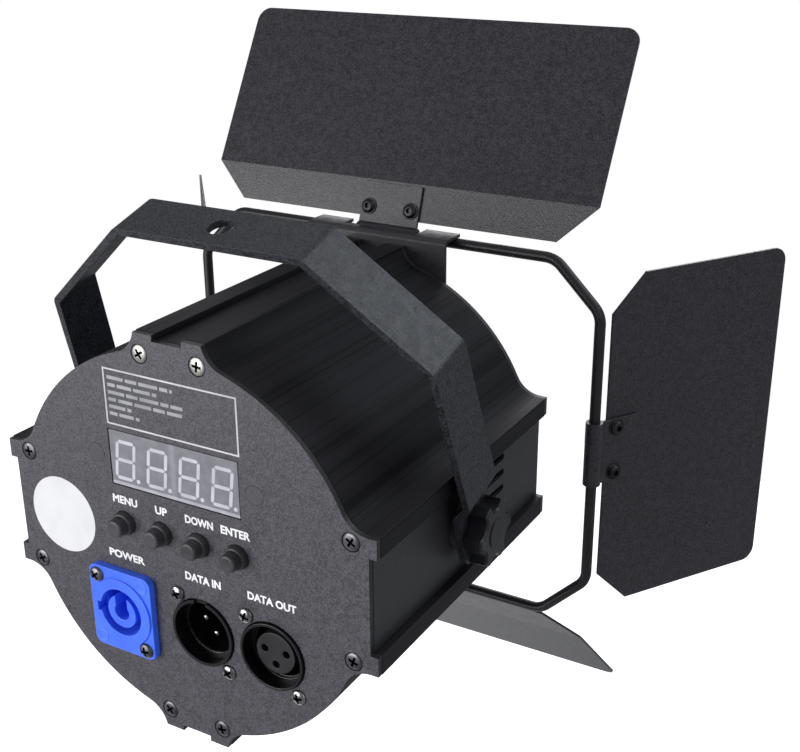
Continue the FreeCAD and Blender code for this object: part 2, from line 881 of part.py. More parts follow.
def make_buttons():
    """A cap on a wider base, kept in by a flange behind the panel."""
    switch_face = BOARD_FRONT - dim.switch_height
    end = switch_face - dim.button_travel - dim.washer_face_gap
    behind = dim.rear_panel_thick + dim.washer_face_gap
    flange_depth = (behind, behind + dim.button_flange_thick)
    for name, x in zip(BUTTONS, button_places()):
        z = dim.button_row_z
        parts = [
            rod("cap", dim.button_cap_radius, (-dim.button_proud, end), x, z),
            rod("base", dim.button_base_radius, (-dim.button_base_proud, flange_depth[1]), x, z),
            rod("flange", dim.button_flange_radius, flange_depth, x, z),
        ]
        node(f"button_{name}", join(f"{name}_cap", parts))


# Sockets

def socket_screw(name, x, z, face):
    """A raised-head screw whose head stands on a face."""
    top = face - dim.socket_screw_head_height
    end = top + dim.screw_length / 2 + dim.rear_panel_thick
    head = cone(f"{name}_head", dim.socket_screw_head_radius * HEAD_CROWN_SHARE,
                dim.socket_screw_head_radius, (top, face), x, z)
    shank = rod(f"{name}_shank", dim.screw_radius, (top, end), x, z)
    recess = cross_recess(name, x, z, top, dim.cross_depth)
    return cut(name, join(f"{name}_blank", [head, shank]), recess)


HEAD_CROWN_SHARE = 0.72


def make_inlet():
    """A flange with a ring that goes back through the panel, and the core that closes it."""
    x, z = dim.inlet_x, dim.inlet_z
    face = -dim.inlet_flange_proud
    rim = face - dim.inlet_rim_proud
    over = dim.cut_overrun
    shell = new_body("inlet_shell")
    flange = rounded_rectangle(x, z, dim.socket_flange_half_width,
                               dim.socket_flange_half_height, dim.socket_corner)
    pad(shell, "depth", [flange], face, ZERO)
    pad(shell, "depth", [("circle", x, z, dim.inlet_boss_radius)], rim, ZERO)
    pad(shell, "depth", [("circle", x, z, dim.inlet_barrel_radius)], rim, dim.inlet_depth)
    bore = ("circle", x, z, dim.inlet_cavity_radius)
    pocket(shell, "depth", [bore], rim - over, dim.inlet_depth + over)
    notch = dim.inlet_notch_half
    side_notch = rectangle(x, x + dim.inlet_notch_reach, z - notch, z + notch)
    pocket(shell, "depth", [side_notch], rim - over, rim + dim.inlet_notch_depth)
    holes = []
    for screw_x, screw_z in socket_screw_places(x, z):
        holes.append(("circle", screw_x, screw_z, HOLE_RADIUS))
    pocket(shell, "depth", holes, rim - over, over)
    node("power_inlet", shell)

    core = new_body("inlet_core")
    fit = ("circle", x, z, dim.inlet_cavity_radius - dim.slide_gap)
    front = rim + dim.inlet_core_setback
    bottom = dim.inlet_core_bore_depth
    pad(core, "depth", [fit], dim.inlet_cavity_depth, dim.inlet_depth)
    pad(core, "depth", [("circle", x, z, dim.inlet_core_radius)], front, dim.inlet_depth)
    pocket(core, "depth", [("circle", x, z, dim.inlet_core_bore)], front - over, bottom)
    slot = dim.inlet_core_slot_half
    opening = rectangle(x - slot, x + slot, z, z + dim.inlet_core_radius + over)
    pocket(core, "depth", [opening], front - over, bottom)
    node("power_inlet_core", core)
    screws = [socket_screw("inlet_screw", *place, face) for place in socket_screw_places(x, z)]
    node("inlet_screws", screws)


def socket_shell(name, x, notched):
    """A flange behind the panel with a ring that comes out through it, its rim notched or not."""
    z = dim.data_z
    shape = new_body(name)
    behind = dim.rear_panel_thick
    front = -dim.data_ring_proud
    flange = rounded_rectangle(x, z, dim.socket_flange_half_width,
                               dim.socket_flange_half_height, dim.socket_corner)
    pad(shape, "depth", [flange], behind, behind + dim.data_flange_thick)
    pad(shape, "depth", [("circle", x, z, dim.data_ring_radius)], front, dim.data_depth)
    low = front - dim.cut_overrun
    pocket(shape, "depth", [("circle", x, z, dim.data_bore_radius)],
           low, dim.data_depth + dim.cut_overrun)
    pocket(shape, "depth", [("circle", x, z, dim.data_mouth_radius)], low, dim.data_mouth_depth)
    if notched:
        half = dim.data_notch_half
        notch = rectangle(x - half, x + half, z, z + dim.data_ring_radius + dim.cut_overrun)
        pocket(shape, "depth", [notch], low, ZERO)
    holes = []
    for screw_x, screw_z in socket_screw_places(x, z):
        holes.append(("circle", screw_x, screw_z, HOLE_RADIUS))
    end = behind + dim.data_flange_thick + dim.cut_overrun
    pocket(shape, "depth", holes, behind - dim.cut_overrun, end)
    return shape


def pin_places(x):
    """The lowest pin, then one at each side, a little above the middle."""
    places = []
    for angle in (-QUARTER_TURN, dim.pin_side_angle, HALF_TURN - dim.pin_side_angle):
        across = dim.pin_circle * cosine(angle)
        places.append((x + across, dim.data_z + dim.pin_circle * sine(angle)))
    return places


def make_data_sockets():
    node("data_in_shell", socket_shell("data_in_ring", dim.data_in_x, True))
    node("data_out_shell", socket_shell("data_out_ring", dim.data_out_x, False))
    back = dim.data_depth
    face = back - dim.data_insert_thick
    fit = dim.data_bore_radius - dim.slide_gap
    holes = []
    pins = []
    for x, z in pin_places(dim.data_in_x):
        holes.append(("circle", x, z, dim.pin_radius + dim.screw_gap))
        pins.append(rod("pin", dim.pin_radius, (face - dim.pin_length, back), x, z))
    middle = ("circle", dim.data_in_x, dim.data_z, fit)
    node("data_in_insert", plate("in_insert", "depth", [middle] + holes, face, back))
    node("data_in_pins", pins)

    plug_face = dim.plug_face_setback - dim.data_ring_proud
    insert = new_body("out_insert")
    x = dim.data_out_x
    pad(insert, "depth", [("circle", x, dim.data_z, fit)], face, back)
    pad(insert, "depth", [("circle", x, dim.data_z, dim.plug_face_radius)], plug_face, back)
    sleeves = []
    for hole_x, hole_z in pin_places(x):
        sleeves.append(("circle", hole_x, hole_z, dim.pin_radius + dim.slide_gap))
    pocket(insert, "depth", sleeves, plug_face - dim.cut_overrun, face)
    node("data_out_insert", insert)

    screws = []
    for socket_x in (dim.data_in_x, dim.data_out_x):
        for place in socket_screw_places(socket_x, dim.data_z):
            screws.append(socket_screw("socket_screw", *place, ZERO))
    node("data_socket_screws", screws)


# Front: plate, glass, reflectors, emitters, heat sink

def opening_places():
    offset = dim.front_opening_offset
    return [(offset * sign_x, offset * sign_z) for sign_z in (1, -1) for sign_x in (1, -1)]


def sink_post_places():
    offset = dim.sink_post_offset
    return [(offset, ZERO), (-offset, ZERO), (ZERO, offset), (ZERO, -offset)]


GLASS = (BODY_END - dim.glass_thick, BODY_END)
REFLECTOR = (GLASS[0] - dim.reflector_depth, GLASS[0])
SINK_FACE = REFLECTOR[0] - dim.emitter_thick
SINK_BACK = SINK_FACE - dim.sink_base_thick
FIN_END = SINK_BACK - dim.sink_fin_length


def make_front():
    loops = [full_outline(dim.panel_inset)]
    for x, z in opening_places():
        loops.append(("circle", x, z, dim.front_opening_radius))
    for x, z in corner_places():
        loops.append(("circle", x, z, HOLE_RADIUS))
    node("front_plate", plate("front_sheet", "depth", loops, BODY_END, dim.body_length))

    disc = ("circle", ZERO, ZERO, SHELL_INNER - dim.inner_disc_gap)
    clear = dim.sink_post_radius + dim.hole_gap
    passes = [("circle", x, z, clear) for x, z in sink_post_places()]
    node("front_glass", plate("glass_disc", "depth", [disc] + passes, *GLASS))

    tray = plate("reflector_disc", "depth", [disc] + passes, *REFLECTOR)
    cups = []
    for x, z in opening_places():
        cups.append(cone("cup", dim.reflector_neck, dim.reflector_mouth, REFLECTOR, x, z))
    node("reflector_tray", cut("reflector_cut", tray, cups))


def make_emitters():
    emitters = []
    half = dim.emitter_half
    for x, z in opening_places():
        base = block("emitter_base", (x - half, x + half), (SINK_FACE, REFLECTOR[0]),
                     (z - half, z + half))
        top = REFLECTOR[0] + dim.emitter_disc_rise
        disc = rod("emitter_disc", dim.emitter_disc_radius, (SINK_FACE, top), x, z)
        emitters.append(join("emitter", [base, disc]))
    node("led_emitters", emitters)


def make_heat_sink():
    sink = new_body("sink")
    radius = SHELL_INNER - dim.sink_edge_gap
    pad(sink, "depth", [("circle", ZERO, ZERO, radius)], SINK_BACK, SINK_FACE)
    middle = (COUNTS["sink_fins"] - 1) / 2
    half = dim.sink_fin_thick / 2
    fins = []
    for step in range(COUNTS["sink_fins"]):
        z = dim.sink_fin_pitch * (step - middle)
        far = dim.sink_fin_pitch * abs(step - middle) + half
        reach = root(squared(radius) - squared(far))
        fins.append(rectangle(-reach, reach, z - half, z + half))
    pad(sink, "depth", fins, FIN_END, SINK_BACK)
    node("heat_sink", sink)
    posts = []
    for x, z in sink_post_places():
        posts.append(rod("sink_post", dim.sink_post_radius, (SINK_FACE, BODY_END), x, z))
    node("heat_sink_posts", posts)


# Fan

FAN_END = FIN_END
FAN_START = FIN_END - dim.fan_depth


def make_fan():
    half = dim.fan_half
    rim = plate("fan_rim", "depth", [rectangle(-half, half, -half, half),
                                     ("circle", ZERO, ZERO, dim.fan_bore_radius)],
                FAN_START, FAN_END)
    base = (FAN_START, FAN_START + dim.fan_base_thick)
    motor = rod("fan_base", dim.fan_hub_radius, base)
    reach = dim.fan_bore_radius + dim.cut_overrun
    strut = dim.fan_strut_width / 2
    struts = [
        block("fan_strut", (-reach, reach), base, (-strut, strut)),
        block("fan_strut", (-strut, strut), base, (-reach, reach)),
    ]
    bearing = rod("bearing", dim.fan_shaft_radius + dim.fan_shaft_gap, base)
    solid = join("fan_solid", [rim, motor] + struts)
    node("fan_frame", cut("fan_frame_cut", solid, [bearing]))

    start = base[1] + dim.fan_running_gap
    end = FAN_END - dim.fan_running_gap
    hub = rod("fan_hub", dim.fan_hub_radius, (start, end))
    shaft = rod("fan_shaft", dim.fan_shaft_radius, (base[0], end))
    tip = dim.fan_bore_radius - dim.fan_tip_gap
    middle = (start + end) / 2
    rotor = [hub, shaft]
    for step in range(COUNTS["fan_blades"]):
        rotor.append(fan_blade(middle, tip, FULL_TURN / COUNTS["fan_blades"] * step))
    node("fan_rotor", join("rotor", rotor))


def fan_blade(middle, tip, angle):
    """A flat blade pitched about its own length, turned round the shaft."""
    made = document.addObject("Part::Box", "blade")
    bind(made, "Length", tip - dim.fan_hub_radius / 2)
    bind(made, "Width", dim.fan_blade_thick)
    bind(made, "Height", dim.fan_blade_height)
    pitched = FreeCAD.Rotation(FreeCAD.Vector(1, 0, 0), float(dim.fan_blade_pitch_angle))
    centre = FreeCAD.Vector(0, -float(dim.fan_blade_thick) / 2, -float(dim.fan_blade_height) / 2)
    turned = FreeCAD.Rotation(FreeCAD.Vector(0, 1, 0), angle) * BLADE_UPRIGHT * pitched
    outward = FreeCAD.Rotation(FreeCAD.Vector(0, 1, 0), angle)
    start = outward.multVec(FreeCAD.Vector(float(dim.fan_hub_radius) / 2, 0, 0))
    place = turned.multVec(centre) + start + FreeCAD.Vector(0, -float(middle), 0)
    made.Placement = FreeCAD.Placement(place, turned)
    return made


BLADE_UPRIGHT = FreeCAD.Rotation(FreeCAD.Vector(1, 0, 0), QUARTER_TURN)


# Power supply on its tray

def make_power_supply():
    tray_front = FAN_START - dim.tray_setback
    tray_back = tray_front - dim.tray_thick
    case = (tray_back - dim.supply_depth, tray_back)
    wide = (-dim.supply_half_width, dim.supply_half_width)
    high = (-dim.supply_half_height, dim.supply_half_height)
    node("power_supply", block("supply_case", wide, case, high))

    ear = dim.tray_ear_half_height
    main = block("tray_plate", (-dim.tray_half_width, dim.tray_half_width),
                 (tray_back, tray_front), (-dim.tray_half_height, dim.tray_half_height))
    arms = block("tray_arms", (-SIDE_WALL, SIDE_WALL), (tray_back, tray_front), (-ear, ear))
    ear_depth = (tray_front - dim.tray_ear_length, tray_front)
    ears = []
    for low in (-SIDE_WALL, SIDE_WALL - dim.tray_thick):
        ears.append(block("tray_ear", (low, low + dim.tray_thick), ear_depth, (-ear, ear)))
    node("power_supply_tray", join("tray", [main, arms] + ears))


# Yoke, knobs and pivot

def bent_line(points, offset, thick, radius):
    """One face of a bent strip, at an offset to the left of its line of points."""
    ahead = unit(points[0], points[1])
    corners = [(points[0][0] - ahead[1] * offset, points[0][1] + ahead[0] * offset)]
    for place in range(1, len(points) - 1):
        behind, ahead = ahead, unit(points[place], points[place + 1])
        share = behind[0] * ahead[0] + behind[1] * ahead[1] + 1
        cross = behind[0] * ahead[1] - behind[1] * ahead[0]
        left = 1 if cross.number > 0 else -1
        bend = radius + (thick - offset if left > 0 else offset)
        corner_x = points[place][0] - (behind[1] + ahead[1]) * offset / share
        corner_y = points[place][1] + (behind[0] + ahead[0]) * offset / share
        leg = bend * cross * left / share
        start = (corner_x - behind[0] * leg, corner_y - behind[1] * leg)
        end = (corner_x + ahead[0] * leg, corner_y + ahead[1] * leg)
        middle = (start[0] - behind[1] * bend * left, start[1] + behind[0] * bend * left)
        corners += [(*start, (*middle, bend)), end]
    return corners


def make_yoke():
    """Flat bar bent at eight places, drawn upright round the pivot, then leaned back.

    Each arm spreads outward from its shoulder, then steps in at a knee to a foot that
    fits between the side rails."""
    thick = dim.yoke_thick
    height = dim.yoke_height
    radius = dim.yoke_bend_radius
    end = -dim.yoke_foot_end
    points = [
        (YOKE_FOOT_SPAN, end),
        (YOKE_FOOT_SPAN, dim.yoke_foot_rise),
        (YOKE_KNEE_SPAN, dim.yoke_knee_rise),
        (YOKE_SHOULDER_SPAN, height - dim.yoke_shoulder_drop),
        (dim.yoke_flat_half, height),
        (ZERO, height),
    ]
    outer = bent_line(points, ZERO, thick, radius)
    inner = bent_line(points, thick, thick, radius)
    loop = list(outer)
    loop += reversed_corners(mirrored(outer, True, False))
    loop += mirrored(inner, True, False)
    loop += reversed_corners(inner)
    half = dim.yoke_width / 2
    bar = plate("yoke_bar", "depth", [loop], -half, half)
    corner = dim.yoke_foot_corner
    top = height + dim.cut_overrun
    silhouette = [
        (-half, end + corner, (corner - half, end + corner, corner)),
        (corner - half, end),
        (half - corner, end, (half - corner, end + corner, corner)),
        (half, end + corner),
        (half, top),
        (-half, top),
    ]
    reach = YOKE_KNEE_SPAN + dim.cut_overrun
    hole = ("circle", ZERO, ZERO, dim.stud_radius + dim.stud_gap)
    sides = plate("yoke_sides", "side", [silhouette, hole], -reach, reach)
    trimmed = shared("yoke_trimmed", bar, sides)
    drill = document.addObject("Part::Cylinder", "yoke_drill")
    bind(drill, "Radius", dim.yoke_hole_radius)
    bind(drill, "Height", thick + dim.cut_overrun * 2)
    put(drill, ZERO, ZERO, height - thick - dim.cut_overrun)
    yoke = cut("yoke_cut", trimmed, [drill])
    node("yoke", yoke, ZERO, dim.pivot_depth, ZERO, ((-1, 0, 0), dim.yoke_lean))


def lobed_loop(count):
    """A round outline with even bites, the first one straight up."""
    radius, bite, offset = dim.knob_radius, dim.knob_valley_radius, dim.knob_valley_offset
    along = (squared(radius) + squared(offset) - squared(bite)) / (offset * 2)
    aside = root(squared(radius) - squared(along))
    loop = []
    for step in range(count):
        angle = QUARTER_TURN + FULL_TURN / count * step
        across, up = cosine(angle), sine(angle)
        middle = (offset * across, offset * up, bite)
        loop += [
            (along * across + aside * up, along * up - aside * across, middle),
            (along * across - aside * up, along * up + aside * across, (ZERO, ZERO, radius)),
        ]
    return loop


def make_knob(side, turn):
    """A lobed knob outside the yoke arm with a stud that reaches the nut inside."""
    start = YOKE_FOOT_SPAN + dim.knob_face_gap
    lobed = start + dim.knob_hub_thick
    face = lobed + dim.knob_thick
    shape = new_body(f"knob_{side}_body")
    pad(shape, "side", [lobed_loop(COUNTS["knob_lobes"])], lobed, face)
    edge_chamfer(shape, face, dim.knob_edge)
    pad(shape, "side", [("circle", ZERO, ZERO, dim.knob_hub_radius)], start, lobed)
    pad(shape, "side", [("circle", ZERO, ZERO, dim.knob_cap_radius)],
        face, face + dim.knob_cap_rise)
    bore = ("circle", ZERO, ZERO, dim.stud_radius)
    middle = lobed + dim.knob_thick / 2
    pocket(shape, "side", [bore], start - dim.cut_overrun, middle)
    node(f"knob_{side}", shape, ZERO, dim.pivot_depth, ZERO, turn)
    end = SIDE_WALL - dim.nut_thick - dim.stud_reach / 2
    stud = cross_rod(f"stud_{side}", dim.stud_radius, (end, middle))
    node(f"knob_stud_{side}", stud, ZERO, dim.pivot_depth, ZERO, turn)


def edge_chamfer(body, reach, size):
    """Breaks the edges of the flat face that lies at a given reach along X."""
    document.recompute()
    solid = body.Tip
    flat = [abs(face.BoundBox.XMin - float(reach)) for face in solid.Shape.Faces]
    chamfer = body.newObject("PartDesign::Chamfer", "edge")
    chamfer.Base = (solid, [f"Face{flat.index(min(flat)) + 1}"])
    chamfer.Size = float(size)
    bind(chamfer, "Size", size)
    body.Tip = chamfer


def make_pivots():
    bore = ("circle", ZERO, ZERO, dim.stud_radius + dim.stud_gap)
    nuts = []
    washers = []
    for sign in (1, -1):
        nut_back = SIDE_WALL - dim.nut_thick
        nut_places = (nut_back, SIDE_WALL) if sign > 0 else (-SIDE_WALL, -nut_back)
        hexagon = polygon(COUNTS["nut_sides"], dim.nut_across_half)
        nuts.append(plate("pivot_nut", "side", [hexagon, bore], *nut_places))
        face = YOKE_FOOT_FACE - dim.washer_face_gap
        rims = (SIDE_FLOOR, face) if sign > 0 else (-face, -SIDE_FLOOR)
        disc = ("circle", ZERO, ZERO, dim.washer_radius)
        washers.append(plate("washer", "side", [disc, bore], *rims))
    node("pivot_nuts", nuts, ZERO, dim.pivot_depth)
    node("friction_washers", washers, ZERO, dim.pivot_depth)


# Door frame, brackets and leaves

def make_door_frame():
    """One rod bent to a rectangle with sloped corners: straights joined by short arcs."""
    corners = []
    half_x, half_z, leg = dim.door_half_width, dim.door_half_height, dim.door_corner_leg
    for sign_x, sign_z in ((1, 1), (1, -1), (-1, -1), (-1, 1)):
        upper = ((half_x - leg) * sign_x, half_z * sign_z)
        lower = (half_x * sign_x, (half_z - leg) * sign_z)
        corners += [upper, lower] if sign_x * sign_z > 0 else [lower, upper]
    path = document.addObject("Sketcher::SketchObject", "rod_path")
    path.Placement = FreeCAD.Placement(FreeCAD.Vector(), DEPTH_TURN)
    draw(path, rounded_loop(corners, dim.door_bend_radius))
    section = document.addObject("Part::Circle", "rod_section")
    bind(section, "Radius", dim.door_rod_radius)
    put(section, ZERO, ZERO, half_z, ((0, 1, 0), QUARTER_TURN))
    sweep = document.addObject("Part::Sweep", "rod_sweep")
    sweep.Sections = [section]
    document.recompute()
    sweep.Spine = (path, [f"Edge{place + 1}" for place in range(len(path.Shape.Edges))])
    sweep.Solid = True
    sweep.Frenet = True
    node("door_frame", sweep, ZERO, DOOR_DEPTH)


DEPTH_TURN = FreeCAD.Rotation(FreeCAD.Vector(1, 0, 0), QUARTER_TURN)


def rounded_loop(corners, radius):
    """A loop of straights with an arc of one radius at each corner."""
    loop = []
    count = len(corners)
    for place, corner in enumerate(corners):
        before = corners[place - 1]
        after = corners[(place + 1) % count]
        back = unit(corner, before)
        ahead = unit(corner, after)
        cosine_between = back[0] * ahead[0] + back[1] * ahead[1]
        half_sine = root((1 - cosine_between) / 2)
        half_cosine = root((cosine_between + 1) / 2)
        leg = radius * half_cosine / half_sine
        start = (corner[0] + back[0] * leg, corner[1] + back[1] * leg)
        end = (corner[0] + ahead[0] * leg, corner[1] + ahead[1] * leg)
        between = unit(corner, ((start[0] + end[0]) / 2, (start[1] + end[1]) / 2))
        reach = radius / half_sine
        middle = (corner[0] + between[0] * reach, corner[1] + between[1] * reach)
        loop += [(*start, (*middle, radius)), end]
    return loop


def unit(start, end):
    """Direction from one corner to another, as two plain numbers in sizes."""
    across = end[0] - start[0]
    along = end[1] - start[1]
    length = root(squared(across) + squared(along))
    return across / length, along / length


def make_bracket(side, sign):
    """A folded sheet: upright on the front plate, flange over the rod, notch for the tab."""
    face = dim.body_length
    thick = dim.bracket_thick
    under = dim.door_half_height + dim.door_rod_radius
    top = under + thick
    low = TOP_SCREW_Z - dim.bracket_below_screw
    front = DOOR_DEPTH + dim.door_rod_radius
    inner = dim.bracket_bend_radius
    outer = inner + thick
    bend = (-face - outer, top - outer)
    profile = [
        (-face, low),
        (-face, top - outer, (*bend, outer)),
        (-face - outer, top),
        (-front, top),
        (-front, under),
        (-face - outer, under, (*bend, inner)),
        (-face - thick, top - outer),
        (-face - thick, low),
    ]
    if sign < 0:
        profile = [bottom_corner(corner) for corner in profile]
    half = dim.bracket_half
    sheet_body = plate(f"bracket_{side}_sheet", "side", [profile], -half, half)
    notch_back = DOOR_DEPTH - SLEEVE_RADIUS - dim.bracket_notch_gap
    notch_half = dim.bracket_notch_half
    over = dim.cut_overrun
    upright = (under - over, top + over) if sign > 0 else (-top - over, over - under)
    tools = [block("notch", (-notch_half, notch_half), (notch_back, front + over), upright)]
    for x in (dim.top_screw_x, -dim.top_screw_x):
        tools.append(rod("bracket_hole", HOLE_RADIUS, (face - over, face + thick + over),
                         x, TOP_SCREW_Z * sign))
    node(f"door_bracket_{side}", cut(f"bracket_{side}", sheet_body, tools))


def bottom_corner(corner):
    """A corner of a section mirrored to the underside."""
    if len(corner) == 2:
        return corner[0], -corner[1]
    middle_x, middle_z, radius = corner[2]
    return corner[0], -corner[1], (middle_x, -middle_z, radius)


SLEEVE_BORE = dim.door_rod_radius + dim.sleeve_gap
SLEEVE_RADIUS = SLEEVE_BORE + dim.sleeve_wall


def leaf_body(name, half, bend_angle):
    """A sheet leaf that stands up from the hinge axis, its rear face in the plane y = 0."""
    thick = dim.leaf_thick
    inner, bend, panel = dim.leaf_inner, dim.leaf_bend_place, dim.leaf_panel
    over = dim.cut_overrun
    long = panel + over
    if bend_angle is None:
        top = bend + panel
        profile = rectangle(-thick, ZERO, inner, top + over)
        front = thick + over
    else:
        sin_b, cos_b = sine(bend_angle), cosine(bend_angle)
        top = bend + panel * cos_b
        mitre = thick * sin_b / (cos_b + 1)
        profile = [
            (ZERO, inner),
            (ZERO, bend),
            (-long * sin_b, bend + long * cos_b),
            (-long * sin_b - thick * cos_b, bend + long * cos_b - thick * sin_b),
            (-thick, bend - mitre),
            (-thick, inner),
        ]
        front = long * sin_b + thick + over
    body = new_body(name)
    wide = half + over
    pad(body, "side", [profile], -wide, wide)
    corner = dim.leaf_corner
    plan = [
        (-half + dim.leaf_wedge, inner),
        (half - dim.leaf_wedge, inner),
        (half, bend),
        (half, top - corner, (half - corner, top - corner, corner)),
        (half - corner, top),
        (-half + corner, top, (-half + corner, top - corner, corner)),
        (-half, top - corner),
        (-half, bend),
    ]
    low = inner / 2
    frame = rectangle(-wide - over, wide + over, low, bend + long + over)
    loops = [frame, plan]
    for x in (dim.tab_screw_half, -dim.tab_screw_half):
        loops.append(("circle", x, dim.tab_screw_place, HOLE_RADIUS))
    pocket(body, "depth", loops, -over, front)
    return body


def hinge_tab(name):
    """A sleeve rolled round the rod, with a flat that lies on the leaf's rear face."""
    half = dim.tab_half
    thick = dim.leaf_thick
    outer = cross_rod(f"{name}_sleeve", SLEEVE_RADIUS, (-half, half))
    flat = block(f"{name}_flat", (-half, half), (-thick, ZERO), (SLEEVE_BORE, dim.tab_reach))
    tools = [cross_rod(f"{name}_bore", SLEEVE_BORE,
                       (-half - dim.cut_overrun, half + dim.cut_overrun))]
    for x in (dim.tab_screw_half, -dim.tab_screw_half):
        tools.append(rod(f"{name}_hole", HOLE_RADIUS,
                         (-thick - dim.cut_overrun, dim.cut_overrun), x, dim.tab_screw_place))
    return cut(name, join(f"{name}_blank", [outer, flat]), tools)


def leaf_fastener(name, x):
    """A button-head screw from the rear, and its nut on the front of the leaf."""
    thick = dim.leaf_thick
    z = dim.tab_screw_place
    top = -thick - dim.leaf_screw_head_height
    nut_end = thick + dim.leaf_nut_thick
    head = cone(f"{name}_head", dim.leaf_screw_head_radius * HEAD_CROWN_SHARE,
                dim.leaf_screw_head_radius, (top, -thick), x, z)
    shank = rod(f"{name}_shank", dim.screw_radius, (top, nut_end + thick), x, z)
    sides = COUNTS["nut_sides"]
    hexagon = polygon(sides, dim.leaf_screw_socket_half, x, z)
    key = plate(f"{name}_key", "depth", [hexagon], top - dim.cut_overrun,
                top + dim.cross_depth)
    screw = cut(name, join(f"{name}_blank", [head, shank]), [key])
    hole = ("circle", x, z, HOLE_RADIUS)
    nut = plate(f"{name}_nut", "depth", [polygon(sides, dim.leaf_nut_half, x, z), hole],
                thick, nut_end)
    return [screw, nut]


LEAVES = [
    ("top", dim.long_leaf_half, dim.leaf_bend_angle, dim.leaf_angle_top, 0),
    ("bottom", dim.long_leaf_half, dim.leaf_bend_angle, dim.leaf_angle_bottom, HALF_TURN),
    ("right", dim.short_leaf_half, None, dim.leaf_angle_right, -QUARTER_TURN),
    ("left", dim.short_leaf_half, None, dim.leaf_angle_left, QUARTER_TURN),
]


def make_leaves():
    """Each leaf is tilted by its angle about the rod, then turned to its side of the frame."""
    places = {
        "top": (ZERO, dim.door_half_height),
        "bottom": (ZERO, -dim.door_half_height),
        "right": (-dim.door_half_width, ZERO),
        "left": (dim.door_half_width, ZERO),
    }
    for side, half, bend_angle, angle, turned in LEAVES:
        x, z = places[side]
        tilt = ((1, 0, 0), angle)
        turn = ((0, 1, 0), turned)
        leaf = put(leaf_body(f"{side}_leaf_body", half, bend_angle), turn=tilt)
        node(f"leaf_{side}", leaf, x, DOOR_DEPTH, z, turn)
        tab = put(hinge_tab(f"{side}_tab"), turn=tilt)
        node(f"hinge_tab_{side}", tab, x, DOOR_DEPTH, z, turn)
        fasteners = []
        for screw_x in (dim.tab_screw_half, -dim.tab_screw_half):
            fasteners += leaf_fastener(f"{side}_screw", screw_x)
        group = document.addObject("Part::Compound", f"{side}_fasteners")
        group.Links = fasteners
        node(f"leaf_screws_{side}", put(group, turn=tilt), x, DOOR_DEPTH, z, turn)


# Build, test and write

make_yoke()
make_shells()
make_channel_strips()
make_side_plates()
make_rear_panel()
make_rear_screws()
make_display()
make_board()
make_buttons()
make_inlet()
make_data_sockets()
make_front()
make_front_screws()
make_emitters()
make_heat_sink()
make_fan()
make_power_supply()
make_pivots()
make_knob("left", None)
make_knob("right", ((0, 0, 1), HALF_TURN))
make_door_frame()
make_bracket("top", 1)
make_bracket("bottom", -1)
make_leaves()
document.recompute()

failed = []
for thing in document.Objects:
    if "Invalid" in thing.State or "Error" in thing.State:
        failed.append(f"{thing.Name}: {thing.getStatusString()}")
for name, holder in nodes.items():
    if holder.Shape.isNull() or not holder.Shape.isValid() or not holder.Shape.Solids:
        failed.append(f"{name}: no valid solid")
if failed:
    raise RuntimeError("; ".join(failed))

os.makedirs("parts", exist_ok=True)
for name, holder in nodes.items():
    solids = holder.Shape.Solids
    shape = solids[0] if len(solids) == 1 else Part.makeCompound(solids)
    shape.exportStep(f"parts/{name}.step")
    print(name, len(solids), round(shape.Volume, 1))
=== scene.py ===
import json
import math

import bmesh
import bpy
from mathutils import Matrix, Vector


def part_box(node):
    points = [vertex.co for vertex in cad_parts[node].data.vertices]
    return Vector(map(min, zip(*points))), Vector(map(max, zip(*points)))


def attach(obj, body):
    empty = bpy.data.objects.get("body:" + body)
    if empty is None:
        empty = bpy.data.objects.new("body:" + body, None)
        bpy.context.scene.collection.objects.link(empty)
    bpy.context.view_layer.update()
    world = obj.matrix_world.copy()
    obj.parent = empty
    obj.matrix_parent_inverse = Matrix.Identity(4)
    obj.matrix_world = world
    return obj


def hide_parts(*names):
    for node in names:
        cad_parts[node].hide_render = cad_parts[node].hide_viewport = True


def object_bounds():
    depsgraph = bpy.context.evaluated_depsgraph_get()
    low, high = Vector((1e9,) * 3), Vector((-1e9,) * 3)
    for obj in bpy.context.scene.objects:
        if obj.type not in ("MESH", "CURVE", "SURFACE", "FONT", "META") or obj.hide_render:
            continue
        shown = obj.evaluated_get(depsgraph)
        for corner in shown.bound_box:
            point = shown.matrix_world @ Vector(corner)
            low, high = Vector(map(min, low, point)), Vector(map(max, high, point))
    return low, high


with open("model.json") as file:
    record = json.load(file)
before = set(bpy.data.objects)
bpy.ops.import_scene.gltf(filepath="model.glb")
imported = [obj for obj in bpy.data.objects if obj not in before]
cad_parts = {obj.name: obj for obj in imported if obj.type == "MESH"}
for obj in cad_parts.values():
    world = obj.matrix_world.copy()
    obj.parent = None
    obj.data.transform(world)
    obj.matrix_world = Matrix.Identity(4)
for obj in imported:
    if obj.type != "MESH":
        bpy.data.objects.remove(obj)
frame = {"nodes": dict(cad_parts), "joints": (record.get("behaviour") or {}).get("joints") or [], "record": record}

# Looks of a small led wash light with barn doors, round its CAD pieces.
# Lengths are in millimetres until they are placed, and MM turns them into metres.
# A place on the rear panel is (across, up): across grows to the right as seen from behind.

MM = 0.001
CAD_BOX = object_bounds()
RECORD = frame["record"]
BODY_OF = {node: body for body, nodes in RECORD["behaviour"]["bodies"].items() for node in nodes}
SLOT_OF = {part["node"]: part["material_slot"] for part in RECORD["subparts"]}
JOINTS = {joint["name"]: joint for joint in frame["joints"]}

PANEL_LOW, PANEL_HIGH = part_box("rear_panel")
PANEL_MIDDLE = (PANEL_LOW + PANEL_HIGH) / 2

# Vertices closer than this are one, and a radius below it is on the axis.
WELD = 0.002
# Faces that meet more bluntly than this, in degrees, are shaded as one.
SMOOTH_BELOW = 35.0
